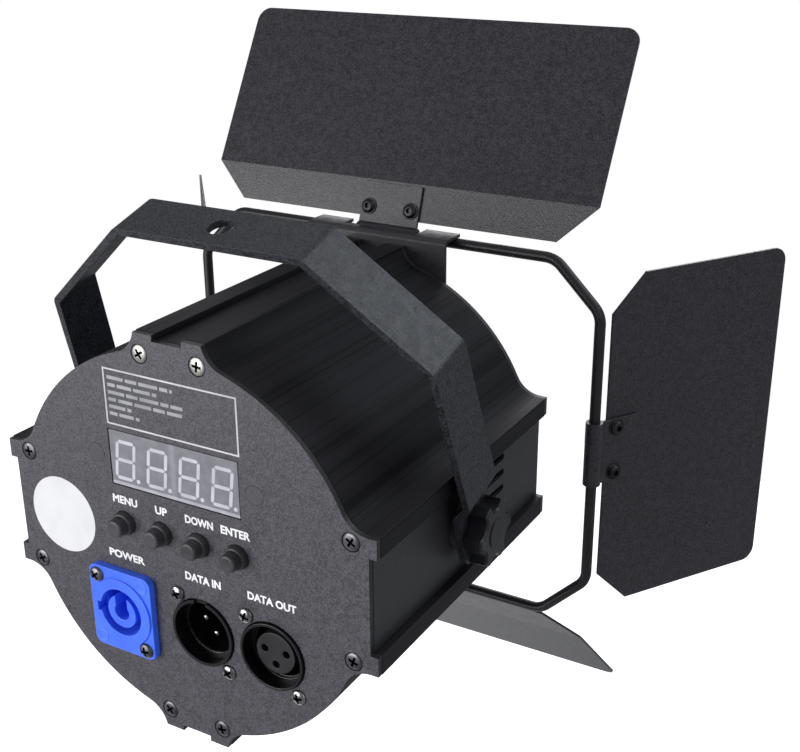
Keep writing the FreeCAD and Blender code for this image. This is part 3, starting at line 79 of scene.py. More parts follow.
# How far a cutting shape reaches past what it cuts.
CUT_OVERRUN = 1.0


# Places

def rear_frame(x, y, z):
    """A frame whose own X, Y and Z are right, up and out, for someone behind the lamp."""
    turn = Matrix(((-1, 0, 0), (0, 0, 1), (0, 1, 0))).transposed().to_4x4()
    return Matrix.Translation((x, y, z)) @ turn


def panel_frame(across, up, proud=0.0):
    """The rear frame at a place on the rear panel."""
    return rear_frame(-across * MM, PANEL_HIGH.y + proud * MM, PANEL_MIDDLE.z + up * MM)


def front_frame(x, y, z):
    """A frame at a place in metres, whose own Z points the way the beam leaves."""
    turn = Matrix(((1, 0, 0), (0, 0, 1), (0, -1, 0))).transposed().to_4x4()
    return Matrix.Translation((x, y, z)) @ turn


# For each leaf, its side's turn round the beam and its lean from the door frame's plane, in degrees.
LEAF_TURNS = {"top": (0, 19.0), "bottom": (180, 34.5), "right": (-90, 57.5), "left": (90, 50.1)}


def leaf_frame(side):
    """A leaf's own frame: X along its hinge, +Y off its rear face, Z from hinge to tip."""
    turned, tilt = LEAF_TURNS[side]
    hinge = Vector(JOINTS[f"leaf_{side}_swing"]["pos_m"])
    turn = Matrix.Rotation(math.radians(turned), 4, "Y") @ Matrix.Rotation(math.radians(tilt), 4, "X")
    return Matrix.Translation(hinge) @ turn


def middle(node):
    """The middle of a CAD node's box."""
    low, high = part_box(node)
    return (low + high) / 2


def welded(node):
    """A CAD node's mesh as a bmesh of its own, its seams closed."""
    made = bmesh.new()
    made.from_mesh(frame["nodes"][node].data)
    bmesh.ops.remove_doubles(made, verts=made.verts, dist=WELD * MM)
    return made


def solids(node):
    """The lowest and highest corner of each separate solid of a CAD node, in a fixed order."""
    made = welded(node)
    left = set(made.verts)
    boxes = []
    while left:
        group, todo = [], [left.pop()]
        while todo:
            vert = todo.pop()
            group.append(vert.co)
            for edge in vert.link_edges:
                other = edge.other_vert(vert)
                if other in left:
                    left.discard(other)
                    todo.append(other)
        low = Vector([min(co[axis] for co in group) for axis in range(3)])
        high = Vector([max(co[axis] for co in group) for axis in range(3)])
        boxes.append((low, high))
    made.free()
    return sorted(boxes, key=lambda box: (round(box[0].z, 5), round(box[0].x, 5)))


# Meshes

LATHE_STEPS = 56


def new_mesh(name, points, faces, smooth_below=SMOOTH_BELOW):
    """A mesh from points in metres, shaded smooth but for edges sharper than an angle."""
    mesh = bpy.data.meshes.new(name)
    mesh.from_pydata(points, [], faces)
    mesh.update()
    mesh.shade_smooth()
    mesh.set_sharp_from_angle(angle=math.radians(smooth_below))
    return mesh


def lathe(name, profile, steps=LATHE_STEPS, smooth_below=SMOOTH_BELOW):
    """A profile of (radius, height) in millimetres turned about Z, from the axis to the axis."""
    points, rings, faces = [], [], []
    for radius, height in profile:
        if radius < WELD:
            rings.append([len(points)])
            points.append((0.0, 0.0, height * MM))
            continue
        ring = []
        for step in range(steps):
            angle = math.tau * step / steps
            ring.append(len(points))
            points.append((radius * MM * math.cos(angle), radius * MM * math.sin(angle), height * MM))
        rings.append(ring)
    for lower, upper in zip(rings, rings[1:]):
        for step in range(steps):
            corners = [lower[step % len(lower)], lower[(step + 1) % len(lower)],
                       upper[(step + 1) % len(upper)], upper[step % len(upper)]]
            faces.append(tuple(dict.fromkeys(corners)))
    return new_mesh(name, points, faces, smooth_below)


def prism(name, loop, low, high):
    """A flat loop of (across, up) in millimetres, counter-clockwise, given a thickness."""
    count = len(loop)
    points = [(x * MM, y * MM, z * MM) for z in (low, high) for x, y in loop]
    faces = [tuple(reversed(range(count))), tuple(range(count, 2 * count))]
    for step in range(count):
        after = (step + 1) % count
        faces.append((step, after, count + after, count + step))
    return new_mesh(name, points, faces)


def ring_points(radius, count, x=0.0, y=0.0, start=0.0):
    """Points of a circle or a regular polygon."""
    turns = [start + math.tau * step / count for step in range(count)]
    return [(x + radius * math.cos(turn), y + radius * math.sin(turn)) for turn in turns]


def bar_loop(x, y, half_x, half_y):
    """The corners of a rectangle round a place."""
    return [(x - half_x, y - half_y), (x + half_x, y - half_y),
            (x + half_x, y + half_y), (x - half_x, y + half_y)]


def merged(name, meshes, smooth_below=SMOOTH_BELOW):
    """Several meshes as one, each of them at its own matrix."""
    points, faces, finishes = [], [], []
    for mesh, matrix in meshes:
        start = len(points)
        points += [tuple(matrix @ vertex.co) for vertex in mesh.vertices]
        faces += [tuple(start + corner for corner in face.vertices) for face in mesh.polygons]
        finishes += [face.material_index for face in mesh.polygons]
    made = new_mesh(name, points, faces, smooth_below)
    made.polygons.foreach_set("material_index", finishes)
    return made


def cut_out(mesh, tool):
    """A mesh with the room of another one taken out of it."""
    base = bpy.data.objects.new("cut_base", mesh)
    cutter = bpy.data.objects.new("cut_tool", tool)
    for thing in (base, cutter):
        bpy.context.scene.collection.objects.link(thing)
    change = base.modifiers.new("cut", "BOOLEAN")
    change.operation = "DIFFERENCE"
    change.solver = "EXACT"
    change.object = cutter
    bpy.context.view_layer.update()
    graph = bpy.context.evaluated_depsgraph_get()
    result = bpy.data.meshes.new_from_object(base.evaluated_get(graph))
    for thing in (base, cutter):
        bpy.data.objects.remove(thing)
    result.shade_smooth()
    result.set_sharp_from_angle(angle=math.radians(SMOOTH_BELOW))
    return result


# Pieces

def add_piece(name, mesh, body, material, replaces=(), second=None):
    """Adds a mesh that rides on a body, with its finish, a second one, and the CAD nodes it replaces."""
    piece = bpy.data.objects.new(name, mesh)
    bpy.context.scene.collection.objects.link(piece)
    mesh.materials.append(material)
    if second is not None:
        mesh.materials.append(second)
    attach(piece, body)
    if replaces:
        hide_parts(*replaces)
    return piece


# Faces of a CAD mesh that lean less than this from each other, in degrees, become one.
FLAT_ENOUGH = 0.35
# Edges sharper than this, in degrees, are rounded, and the shading breaks a little above it.
CREASE, CREASE_MARGIN = 32.0, 3.0
EDGE_SEGMENTS = 3


def soften(piece, width, crease):
    """Rounds the edges of a piece that are sharper than a crease, by a width in millimetres."""
    change = piece.modifiers.new("soft_edges", "BEVEL")
    change.width = width * MM
    change.segments = EDGE_SEGMENTS
    change.limit_method = "ANGLE"
    change.angle_limit = math.radians(crease)
    change.harden_normals = True


def finished(node, width, crease=CREASE):
    """Adds a CAD node's shape with its edges rounded as on the real piece."""
    made = welded(node)
    bmesh.ops.dissolve_limit(made, angle_limit=math.radians(FLAT_ENOUGH), verts=made.verts,
                             edges=made.edges)
    made.verts.index_update()
    points = [tuple(vert.co) for vert in made.verts]
    faces = [tuple(vert.index for vert in face.verts) for face in made.faces]
    made.free()
    slot = SLOT_OF[node]
    mesh = new_mesh(f"{node}_finish", points, faces, crease + CREASE_MARGIN)
    piece = add_piece(mesh.name, mesh, BODY_OF[node], LOOKS[slot], (node,))
    soften(piece, width, crease)


# Materials

def shade(red, green, blue):
    """A screen colour, 0 to 255, as the linear colour that a shader takes."""
    return (*[((value / 255 + 0.055) / 1.055) ** 2.4 for value in (red, green, blue)], 1.0)


SOCKETS = {"metal": "Metallic", "rough": "Roughness", "gloss": "Specular IOR Level",
           "coat": "Coat Weight", "coat_rough": "Coat Roughness", "clear": "Transmission Weight",
           "ior": "IOR", "glow": "Emission Strength", "glow_colour": "Emission Color",
           "colour": "Base Color"}


class Look:
    """A procedural material whose nodes are added one by one."""

    def __init__(self, name, **sockets):
        self.material = bpy.data.materials.new(name)
        self.material.use_nodes = True
        self.tree = self.material.node_tree
        self.shader = self.tree.nodes["Principled BSDF"]
        for socket, value in sockets.items():
            self.shader.inputs[SOCKETS[socket]].default_value = value
        self.place = self.add("ShaderNodeTexCoord").outputs["Object"]
        self.normal = None

    def add(self, kind, values=None, **settings):
        """Adds a node; a value is another node's output, which is linked, or a constant."""
        made = self.tree.nodes.new(kind)
        for setting, value in settings.items():
            setattr(made, setting, value)
        for socket, value in (values or {}).items():
            if isinstance(value, bpy.types.NodeSocket):
                self.tree.links.new(value, made.inputs[socket])
            else:
                made.inputs[socket].default_value = value
        return made

    def math(self, operation, first, second=0.0, third=0.0):
        values = {0: first, 1: second, 2: third}
        return self.add("ShaderNodeMath", values, operation=operation).outputs[0]

    def noise(self, size, detail=2.0, stretch=(1, 1, 1)):
        """Noise with grains of a size in millimetres, longer along an axis by its stretch."""
        scale = [1 / (size * MM * factor) for factor in stretch]
        moved = self.add("ShaderNodeMapping", {"Vector": self.place, "Scale": scale}).outputs[0]
        values = {"Vector": moved, "Scale": 1.0, "Detail": detail}
        return self.add("ShaderNodeTexNoise", values).outputs[0]

    def spread(self, fac, low, high, floor=0.3, roof=0.7):
        """A value between two ends, as noise goes from its floor to its roof."""
        values = {"Value": fac, "From Min": floor, "From Max": roof, "To Min": low, "To Max": high}
        return self.add("ShaderNodeMapRange", values).outputs[0]

    def ramp(self, fac, stops):
        """A colour that goes from stop to stop, each of them a place and a colour."""
        made = self.add("ShaderNodeValToRGB", {"Fac": fac})
        stops = list(stops)
        points = made.color_ramp.elements
        while len(points) < len(stops):
            points.new(1.0)
        for point, (place, colour) in zip(points, stops):
            point.position = place
            point.color = colour
        return made.outputs[0]

    def wire(self, socket, value):
        """Links an output to one of the shader's sockets."""
        self.tree.links.new(value, self.shader.inputs[socket])

    def bump(self, height, depth):
        """Adds relief of a depth in millimetres over what is there."""
        values = {"Height": height, "Distance": depth * MM, "Strength": 1.0}
        if self.normal is not None:
            values["Normal"] = self.normal
        self.normal = self.add("ShaderNodeBump", values).outputs[0]
        self.wire("Normal", self.normal)


# The powder coat's mottle as a multiple of its grain, and the clouds in plastic and metal.
MOTTLE_SHARE = 4.5
PLASTIC_CLOUD, METAL_CLOUD = 9.0, 4.0


def textured_coat(name, dark, light, grain, depth, rough, **sockets):
    """Powder coat: orange peel in the relief, with a slight mottle in colour and gloss."""
    look = Look(name, **sockets)
    fine = look.noise(grain, 3.0)
    coarse = look.noise(grain * MOTTLE_SHARE, 3.0)
    both = look.math("MULTIPLY_ADD", coarse, 0.2, look.math("MULTIPLY", fine, 0.8))
    look.wire("Base Color", look.ramp(both, [(0.4, shade(*dark)), (0.6, shade(*light))]))
    look.wire("Roughness", look.spread(coarse, rough[0], rough[1]))
    look.bump(fine, depth)
    return look.material


def moulded(name, dark, light, rough, grain=0.5, depth=0.004, **sockets):
    """Moulded plastic: a fine even grain, with a faint cloud in colour and gloss."""
    look = Look(name, **sockets)
    cloud = look.noise(PLASTIC_CLOUD)
    fine = look.noise(grain)
    look.wire("Base Color", look.ramp(cloud, [(0.35, shade(*dark)), (0.65, shade(*light))]))
    look.wire("Roughness", look.spread(fine, rough[0], rough[1]))
    look.bump(fine, depth)
    return look.material


def plated(name, dark, light, rough, stretch=(1, 1, 1), grain=0.35, depth=0.002, **sockets):
    """Metal with fine tool marks, along an axis where it is stretched."""
    look = Look(name, metal=1.0, **sockets)
    marks = look.noise(grain, 3.0, stretch)
    cloud = look.noise(METAL_CLOUD)
    look.wire("Base Color", look.ramp(cloud, [(0.3, shade(*dark)), (0.7, shade(*light))]))
    look.wire("Roughness", look.spread(marks, rough[0], rough[1]))
    look.bump(marks, depth)
    return look.material


# Along the lamp an extrusion's lines run on, and its broader streaks fade sooner.
DRAWN, FADING = (1, 300, 1), (1, 30, 1)
GRAIN_SIZE, LINE_SPACING, STREAK_SIZE = 0.35, 4.6, 7.0
LINE_HALF_SHARE = 0.032


def extrusion(name):
    """Black anodised aluminium with thin drawn grooves of uneven width along the lamp, their colour darkened as
    painted shade.
    """
    look = Look(name, gloss=0.16)
    fine = look.noise(GRAIN_SIZE, 3.0, DRAWN)
    lines = look.noise(LINE_SPACING, 1.2, DRAWN)
    broad = look.noise(STREAK_SIZE, 2.0, FADING)
    off_line = look.math("ABSOLUTE", look.math("SUBTRACT", lines, 0.5))
    height = look.spread(off_line, 0.0, 1.0, 0.0, LINE_HALF_SHARE)
    grain = look.math("MULTIPLY_ADD", broad, 0.55, look.math("MULTIPLY", fine, 0.45))
    # Painted shade: the colour darkens in the drawn grooves.
    tone = look.math("MULTIPLY", grain, look.spread(height, 0.4, 1.0, 0.0, 1.0))
    look.wire("Base Color", look.ramp(tone, [(0.24, shade(12, 12, 14)), (0.42, shade(25, 25, 28)),
                                             (0.6, shade(36, 35, 40))]))
    look.wire("Roughness", look.spread(fine, 0.5, 0.66))
    look.bump(fine, 0.003)
    look.bump(height, 0.012)
    return look.material


def steel_panel(name):
    """The rear panel's coat, finer and paler than the yoke's and the leaves'."""
    return textured_coat(name, (42, 41, 46), (82, 80, 88), 0.45, 0.02, (0.42, 0.56), gloss=0.46)


# How far the pale band is solid from the middle and where it ends, and the same up the pale foot.
BAND_CORE, BAND_EDGE = 0.5, 1.6
FOOT_HEIGHT, FOOT_EDGE = 1.1, 1.3


def display_film(name):
    """Frosted grey film, paler in a band up its middle and along its lower edge."""
    look = Look(name, gloss=0.5, coat=0.25, coat_rough=0.18)
    low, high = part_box("display_window")
    parts = look.add("ShaderNodeSeparateXYZ", {0: look.place}).outputs
    off_middle = look.math("ABSOLUTE", look.math("SUBTRACT", parts[0], (low.x + high.x) / 2))
    band = look.spread(off_middle, 1.0, 0.0, BAND_CORE * MM, BAND_EDGE * MM)
    foot = look.spread(parts[2], 1.0, 0.0, low.z + FOOT_HEIGHT * MM, low.z + FOOT_EDGE * MM)
    cloud = look.noise(3.0, 3.0)
    grey = look.math("MULTIPLY_ADD", band, 0.18, look.math("MULTIPLY", cloud, 0.45))
    both = look.math("MULTIPLY_ADD", foot, 0.5, grey)
    look.wire("Base Color", look.ramp(both, [(0.1, shade(104, 104, 111)), (0.4, shade(130, 130, 138)),
                                             (0.8, shade(174, 173, 183))]))
    look.wire("Roughness", look.spread(look.noise(0.25, 2.0), 0.38, 0.5))
    return look.material


BOARD_RUN = 8.0
CHIP_PITCH, CHIP_RISE = 1.5, 0.03


def circuit_board(name):
    """Green solder mask with paler copper runs under it."""
    look = Look(name, gloss=0.5)
    runs = look.add("ShaderNodeTexBrick", {"Vector": look.place, "Scale": 1 / (BOARD_RUN * MM),
                                           "Mortar Size": 0.03})
    mask = look.math("MULTIPLY_ADD", runs.outputs["Fac"], 0.5, look.noise(5.0))
    look.wire("Base Color", look.ramp(mask, [(0.3, shade(14, 66, 34)), (0.9, shade(50, 120, 70))]))
    look.wire("Roughness", look.spread(look.noise(0.5), 0.3, 0.45))
    return look.material


def phosphor(name):
    """Yellow silicone over rows of small chips."""
    look = Look(name, gloss=0.5, coat=0.4, coat_rough=0.1)
    cells = look.add("ShaderNodeTexVoronoi", {"Vector": look.place, "Scale": 1 / (CHIP_PITCH * MM),
                                              "Randomness": 0.0}).outputs["Distance"]
    look.wire("Base Color", look.ramp(cells, [(0.15, shade(206, 176, 60)), (0.4, shade(236, 212, 96))]))
    look.wire("Roughness", look.spread(look.noise(0.6), 0.3, 0.5))
    look.bump(cells, CHIP_RISE)
    return look.material


def clear_glass(name):
    """Clear glass, very slightly uneven."""
    look = Look(name, clear=1.0, ior=1.45, colour=(0.97, 0.99, 0.98, 1.0))
    look.wire("Roughness", look.spread(look.noise(12.0, 3.0), 0.0, 0.03))
    return look.material


LOOKS = {
    "powder_coat_dark": textured_coat("powder_coat_dark", (18, 18, 21), (54, 55, 62), 0.7, 0.08,
                                      (0.36, 0.5), gloss=0.45),
    "anodised_black": extrusion("anodised_black"),
    "side_sheet": textured_coat("side_sheet", (34, 34, 37), (44, 44, 48), 0.35, 0.012, (0.4, 0.52),
                                gloss=0.45),
    "panel_coat": steel_panel("panel_coat"),
    "leaf_coat": textured_coat("leaf_coat", (24, 23, 28), (56, 54, 61), 0.55, 0.06, (0.32, 0.42),
                               gloss=0.5),
    "front_coat": textured_coat("front_coat", (35, 34, 38), (60, 59, 65), 0.5, 0.022, (0.4, 0.55),
                                gloss=0.45),
    "bright_screw": plated("bright_screw", (110, 110, 112), (176, 176, 178), (0.12, 0.24)),
    "dark_screw": plated("dark_screw", (40, 40, 42), (74, 74, 78), (0.3, 0.48)),
    "display_film": display_film("display_film"),
    "display_case": moulded("display_case", (34, 34, 36), (46, 46, 49), (0.42, 0.56)),
    "board_green": circuit_board("board_green"),
    "board_post_metal": textured_coat("board_post_metal", (58, 58, 63), (76, 76, 82), 0.35, 0.008,
                                      (0.4, 0.5), gloss=0.4),
    "button_plastic": moulded("button_plastic", (38, 38, 42), (56, 56, 61), (0.4, 0.52), gloss=0.5),
    "blue_plastic": moulded("blue_plastic", (58, 104, 244), (66, 114, 253), (0.3, 0.42), gloss=0.5,
                            coat=0.1, coat_rough=0.2),
    "socket_metal": moulded("socket_metal", (6, 6, 7), (14, 14, 16), (0.24, 0.36), gloss=0.5),
    "socket_plastic": moulded("socket_plastic", (24, 24, 26), (40, 40, 44), (0.4, 0.52), gloss=0.4),
    "clear_glass": clear_glass("clear_glass"),
    "reflector_silver": plated("reflector_silver", (214, 214, 218), (236, 236, 238), (0.08, 0.2),
                               grain=1.2, depth=0.01),
    "emitter_yellow": phosphor("emitter_yellow"),
    "sink_aluminium": plated("sink_aluminium", (150, 152, 156), (186, 188, 192), (0.32, 0.5),
                             (60, 1, 1)),
    "fan_plastic": moulded("fan_plastic", (18, 18, 19), (30, 30, 32), (0.4, 0.55)),
    "knob_plastic": moulded("knob_plastic", (20, 20, 22), (32, 32, 35), (0.28, 0.42), grain=0.4,
                            depth=0.012, gloss=0.4),
    "washer_fibre": moulded("washer_fibre", (40, 38, 36), (58, 55, 50), (0.7, 0.85), depth=0.02),
    "rod_black": moulded("rod_black", (24, 24, 27), (32, 32, 36), (0.34, 0.42), 0.8, 0.001, gloss=0.4),
}

PRINT_WHITE = moulded("print_white", (226, 226, 228), (244, 244, 246), (0.5, 0.62), gloss=0.4)
LABEL_PALE = moulded("label_pale", (184, 185, 188), (208, 209, 212), (0.5, 0.62), gloss=0.4)
LABEL_DIM = moulded("label_dim", (140, 141, 145), (166, 167, 171), (0.5, 0.62), gloss=0.4)
SEGMENT_PALE = moulded("segment_pale", (180, 180, 190), (196, 196, 206), (0.4, 0.5), gloss=0.4)
DISC_PALE = moulded("disc_pale", (212, 212, 215), (218, 218, 221), (0.5, 0.6), gloss=0.35)
ZINC = plated("zinc", (150, 148, 145), (190, 188, 184), (0.34, 0.48))
EMITTER_WHITE = moulded("emitter_white", (216, 216, 210), (234, 234, 228), (0.4, 0.55))
DULL_SCREW = plated("dull_screw", (84, 84, 88), (120, 120, 125), (0.3, 0.44))
# Paler metal for the data in socket's lip, a painted highlight.
LIP_HIGHLIGHT = plated("lip_highlight", (60, 60, 64), (104, 104, 110), (0.2, 0.34))
# Painted shade: a near-black finish for screw recesses and the gaps round sunk heads.
RECESS_SHADE = plated("recess_shade", (8, 8, 9), (22, 22, 24), (0.5, 0.65))

for name, node in frame["nodes"].items():
    if not node.material_slots:
        node.data.materials.append(None)
    for material_slot in node.material_slots:
        material_slot.material = LOOKS[SLOT_OF[name]]


# Sheet metal, extrusions and mouldings that keep their CAD shape, with rounded edges

# How far the edges of each piece are rounded.
EDGES = {
    "yoke": 0.4, "rear_panel": 0.22, "front_plate": 0.22, "side_plate_left": 0.15,
    "side_plate_right": 0.15, "door_bracket_top": 0.2, "door_bracket_bottom": 0.2,
    "shell_top_left": 0.3, "shell_top_right": 0.3, "shell_bottom_left": 0.3,
    "shell_bottom_right": 0.3, "channel_strips": 0.2, "display_window": 0.12,
    "power_inlet": 0.45, "power_inlet_core": 0.35, "data_in_shell": 0.42, "data_out_shell": 0.42,
    "data_out_insert": 0.3, "knob_left": 0.55, "knob_right": 0.55,
}
for side in LEAF_TURNS:
    EDGES[f"hinge_tab_{side}"] = 0.18
for node, width in EDGES.items():
    finished(node, width)

# The rear panel's cut edge, whose faces look less than this share to the rear, is painted dark as shade.
FLAT_FACE = 0.9
panel_finish = bpy.data.objects["rear_panel_finish"].data
panel_finish.materials.append(LOOKS["fan_plastic"])
for face in panel_finish.polygons:
    face.material_index = int(abs(face.normal.y) < FLAT_FACE)

# A leaf's shallow bend is a crease too.
LEAF_EDGE, LEAF_CREASE = 0.25, 7.0
for side in LEAF_TURNS:
    finished(f"leaf_{side}", LEAF_EDGE, LEAF_CREASE)


# Door frame: one round bar bent into an octagon, closed by a weld

ROD_RADIUS = 2.0
# How much a cut corner takes off each side, and the radius of the bar's middle line in a bend.
ROD_CORNER, ROD_BEND = 18.2, 9.0
ROD_SIDES, BEND_STEPS = 20, 10


def bent_path(corners, radius):
    """A closed path through corners, each one rounded by a radius."""
    path = []
    for before, corner, after in zip(corners[-1:] + corners[:-1], corners, corners[1:] + corners[:1]):
        back, ahead = (before - corner).normalized(), (after - corner).normalized()
        half_turn = (math.pi - back.angle(ahead)) / 2
        start = corner + back * radius * math.tan(half_turn)
        centre = corner + (back + ahead).normalized() * radius / math.cos(half_turn)
        axis = (-back).cross(ahead).normalized()
        for step in range(BEND_STEPS + 1):
            turn = Matrix.Rotation(2 * half_turn * step / BEND_STEPS, 3, axis)
            path.append(centre + turn @ (start - centre))
    return path


def round_bar(name, path, radius):
    """A closed round bar along a flat path across the beam."""
    points, faces = [], []
    count = len(path)
    for step, place in enumerate(path):
        along = (path[(step + 1) % count] - path[step - 1]).normalized()
        outward = along.cross(Vector((0, 1, 0))).normalized()
        for side in range(ROD_SIDES):
            angle = math.tau * side / ROD_SIDES
            points.append(place + (outward * math.cos(angle) + Vector((0, math.sin(angle), 0))) * radius)
    for step in range(count):
        for side in range(ROD_SIDES):
            after, beside = (step + 1) % count * ROD_SIDES, (side + 1) % ROD_SIDES
            here = step * ROD_SIDES
            faces.append((here + side, after + side, after + beside, here + beside))
    mesh = new_mesh(name, [tuple(point) for point in points], faces)
    made = bmesh.new()
    made.from_mesh(mesh)
    bmesh.ops.recalc_face_normals(made, faces=made.faces)
    made.to_mesh(mesh)
    made.free()
    return mesh


rod_low, rod_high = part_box("door_frame")
rod_middle = (rod_low + rod_high) / 2
rod_half = (rod_high - rod_low) / 2 - Vector((1, 1, 1)) * ROD_RADIUS * MM
corners = []
for sign_x, sign_z, flat_first in ((1, 1, False), (-1, 1, True), (-1, -1, False), (1, -1, True)):
    beside = Vector((sign_x * (rod_half.x - ROD_CORNER * MM), 0, sign_z * rod_half.z))
    above = Vector((sign_x * rod_half.x, 0, sign_z * (rod_half.z - ROD_CORNER * MM)))
    pair = [beside, above] if flat_first else [above, beside]
    corners += [rod_middle + corner for corner in pair]
add_piece("door_frame_bar", round_bar("door_frame_bar", bent_path(corners, ROD_BEND * MM),
                                      ROD_RADIUS * MM),
          "housing", LOOKS["rod_black"], ("door_frame",))


# Screws

HEAD_STEPS = 40
CROSS_WIDTH, CROSS_REACH = 0.85, 1.75
# A face of the cut is its floor when it looks up by more than the first share, and a wall below the
# second; a face within the sliver of a plane lies in it.
RECESS_FLOOR, RECESS_WALL = 0.9, 0.35
SLIVER = 0.02


def crossed(head, crown, depth):
    """A head with a cross cut down from its crown; the cut's faces take the second finish, a dark painted shade.
    """
    floor = crown - depth
    for turn in (0.0, math.pi / 2):
        bar = prism("bar", bar_loop(0, 0, CROSS_REACH, CROSS_WIDTH / 2), floor, crown + CUT_OVERRUN)
        bar.transform(Matrix.Rotation(turn, 4, "Z"))
        head = cut_out(head, bar)
    # The floor and walls of the cross take the painted shade.
    for face in head.polygons:
        inside = face.center.xy.length < (CROSS_REACH + SLIVER) * MM
        at_floor = face.center.z < (floor + SLIVER) * MM and face.normal.z > RECESS_FLOOR
        if inside and face.center.z > (floor - SLIVER) * MM:
            face.material_index = int(at_floor or abs(face.normal.z) < RECESS_WALL)
    return head


SHANK_RADIUS = 1.5
LONG_SHANK, SHORT_SHANK = 10.9, 7.0
POINT_NARROW, POINT_LONG = 0.3, 0.4
SHANK = [(0.0, 0.0), (SHANK_RADIUS - POINT_NARROW, 0.0), (SHANK_RADIUS, POINT_LONG)]


def screw_shank(length):
    """The outline of a shank from its point up, for a head that sits on Z = 0."""
    return [(radius, up - length) for radius, up in SHANK]


DOME_STEPS = 6
UNDER_HEAD = 0.02
RIM_NARROW, RIM_HIGH = 0.15, 0.12


def domed_head(radius, edge, crown, length, depth):
    """A domed cross-head screw that sits on Z = 0."""
    profile = screw_shank(length) + [(SHANK_RADIUS, -UNDER_HEAD), (radius - RIM_NARROW, -UNDER_HEAD),
                                     (radius, RIM_HIGH)]
    for step in range(DOME_STEPS):
        angle = math.pi / 2 * step / DOME_STEPS
        profile.append((radius * math.cos(angle), edge + (crown - edge) * math.sin(angle)))
    profile.append((0.0, crown))
    return crossed(lathe("head", profile, HEAD_STEPS), crown, depth)


NECK_DEPTH = 1.6
# The rim beside a countersunk head's radius, and its crown as shares of its radius and height.
SUNK_RIM = [(-0.08, -0.28), (0.0, -0.18), (-0.12, -0.04)]
CROWN_SHARES = [(0.7, 0.7), (0.35, 0.95), (0.0, 1.0)]


def sunk_head(radius, crown, length, depth):
    """A countersunk cross-head screw, its rim just under Z = 0 and its crown just proud."""
    profile = screw_shank(length) + [(SHANK_RADIUS, -NECK_DEPTH)]
    profile += [(radius + wider, up) for wider, up in SUNK_RIM]
    profile += [(radius * across, crown * up) for across, up in CROWN_SHARES]
    return crossed(lathe("head", profile, HEAD_STEPS), crown, depth)


def rear_places(node):
    """Frames on the rear ends of a node's solids."""
    frames = []
    for low, high in solids(node):
        centre = (low + high) / 2
        frames.append(rear_frame(centre.x, high.y, centre.z))
    return frames


def front_places(node):
    """Frames on the front ends of a node's solids."""
    frames = []
    for low, high in solids(node):
        centre = (low + high) / 2
        frames.append(front_frame(centre.x, low.y, centre.z))
    return frames


def seated(frames, height):
    """Frames at the crowns of heads, moved down to where heads of that height sit."""
    return [place @ Matrix.Translation((0, 0, -height * MM)) for place in frames]


# In degrees, as screws stop where they bite.
SCREW_TURNS = [12, 40, 71, 25, 58, 5, 83, 33]


def turned(frames):
    """The same frames, each with a turn of its own about its Z."""
    return [place @ Matrix.Rotation(math.radians(SCREW_TURNS[step % len(SCREW_TURNS)]), 4, "Z")
            for step, place in enumerate(frames)]


def add_screws(name, head, frames, node, finish=None):
    """Adds one head at each frame, in place of a node, with its recesses in painted shade."""
    mesh = merged(name, [(head, place) for place in frames])
    slot = SLOT_OF[node]
    return add_piece(name, mesh, BODY_OF[node], finish or LOOKS[slot], (node,), RECESS_SHADE)


# The rear panel's screws, each with a thin ring of painted shadow in the gap round its head; the top pair is
# bright

HEAD_RADIUS, SEAT_RADIUS = 2.95, 3.2
SUNK_CROWN, SUNK_CROSS = 0.3, 1.0
SEAT_PROUD, SEAT_STEPS = 0.015, 48
TOP_PAIR_ABOVE = 40.0
# A thin flat ring of painted shadow where the gap round a sunk head would be dark.
seat_gap_shade = lathe("seat", [(HEAD_RADIUS, -SEAT_PROUD), (SEAT_RADIUS, -SEAT_PROUD),
                          (SEAT_RADIUS, SEAT_PROUD), (HEAD_RADIUS, SEAT_PROUD),
                          (HEAD_RADIUS, -SEAT_PROUD)], SEAT_STEPS)
for face in seat_gap_shade.polygons:
    face.material_index = 1
rear_screw = sunk_head(HEAD_RADIUS, SUNK_CROWN, LONG_SHANK, SUNK_CROSS)
rear_head = merged("rear_head", [(rear_screw, Matrix()), (seat_gap_shade, Matrix())])
rear_seats = turned(rear_places("rear_screws"))
top_height = PANEL_MIDDLE.z + TOP_PAIR_ABOVE * MM
top_pair = [place for place in rear_seats if place.translation.z > top_height]
others = [place for place in rear_seats if place.translation.z <= top_height]
add_screws("rear_screws_dark", rear_head, others, "rear_screws", DULL_SCREW)
bright = merged("rear_screws_bright", [(rear_head, place) for place in top_pair])
add_piece("rear_screws_bright", bright, "housing", ZINC,
          ("rear_screws",), RECESS_SHADE)


# Domed screws of the sockets, the inlet and the front plate

DOMED_CROSS = 1.1
PAN_RADIUS, PAN_EDGE, PAN_HEIGHT = 2.7, 0.35, 1.4
pan_head = domed_head(PAN_RADIUS, PAN_EDGE, PAN_HEIGHT, SHORT_SHANK, DOMED_CROSS)
for node, finish in (("data_socket_screws", LOOKS["bright_screw"]), ("inlet_screws", DULL_SCREW)):
    add_screws(f"{node}_domed", pan_head, turned(seated(rear_places(node), PAN_HEIGHT)), node, finish)

FRONT_RADIUS, FRONT_EDGE, FRONT_HEIGHT = 2.95, 0.4, 1.6
front_head = domed_head(FRONT_RADIUS, FRONT_EDGE, FRONT_HEIGHT, LONG_SHANK, DOMED_CROSS)
add_screws("front_screws_domed", front_head,
           turned(seated(front_places("front_screws"), FRONT_HEIGHT)), "front_screws")


# Leaf screws: a pair through each leaf and its hinge tab, with a nut on each

LEAF_SCREW_HALF, LEAF_SCREW_PLACE = 9.0, 9.2
LEAF_SCREW_TURNS = (17, 48)
LEAF_THICK = 1.0
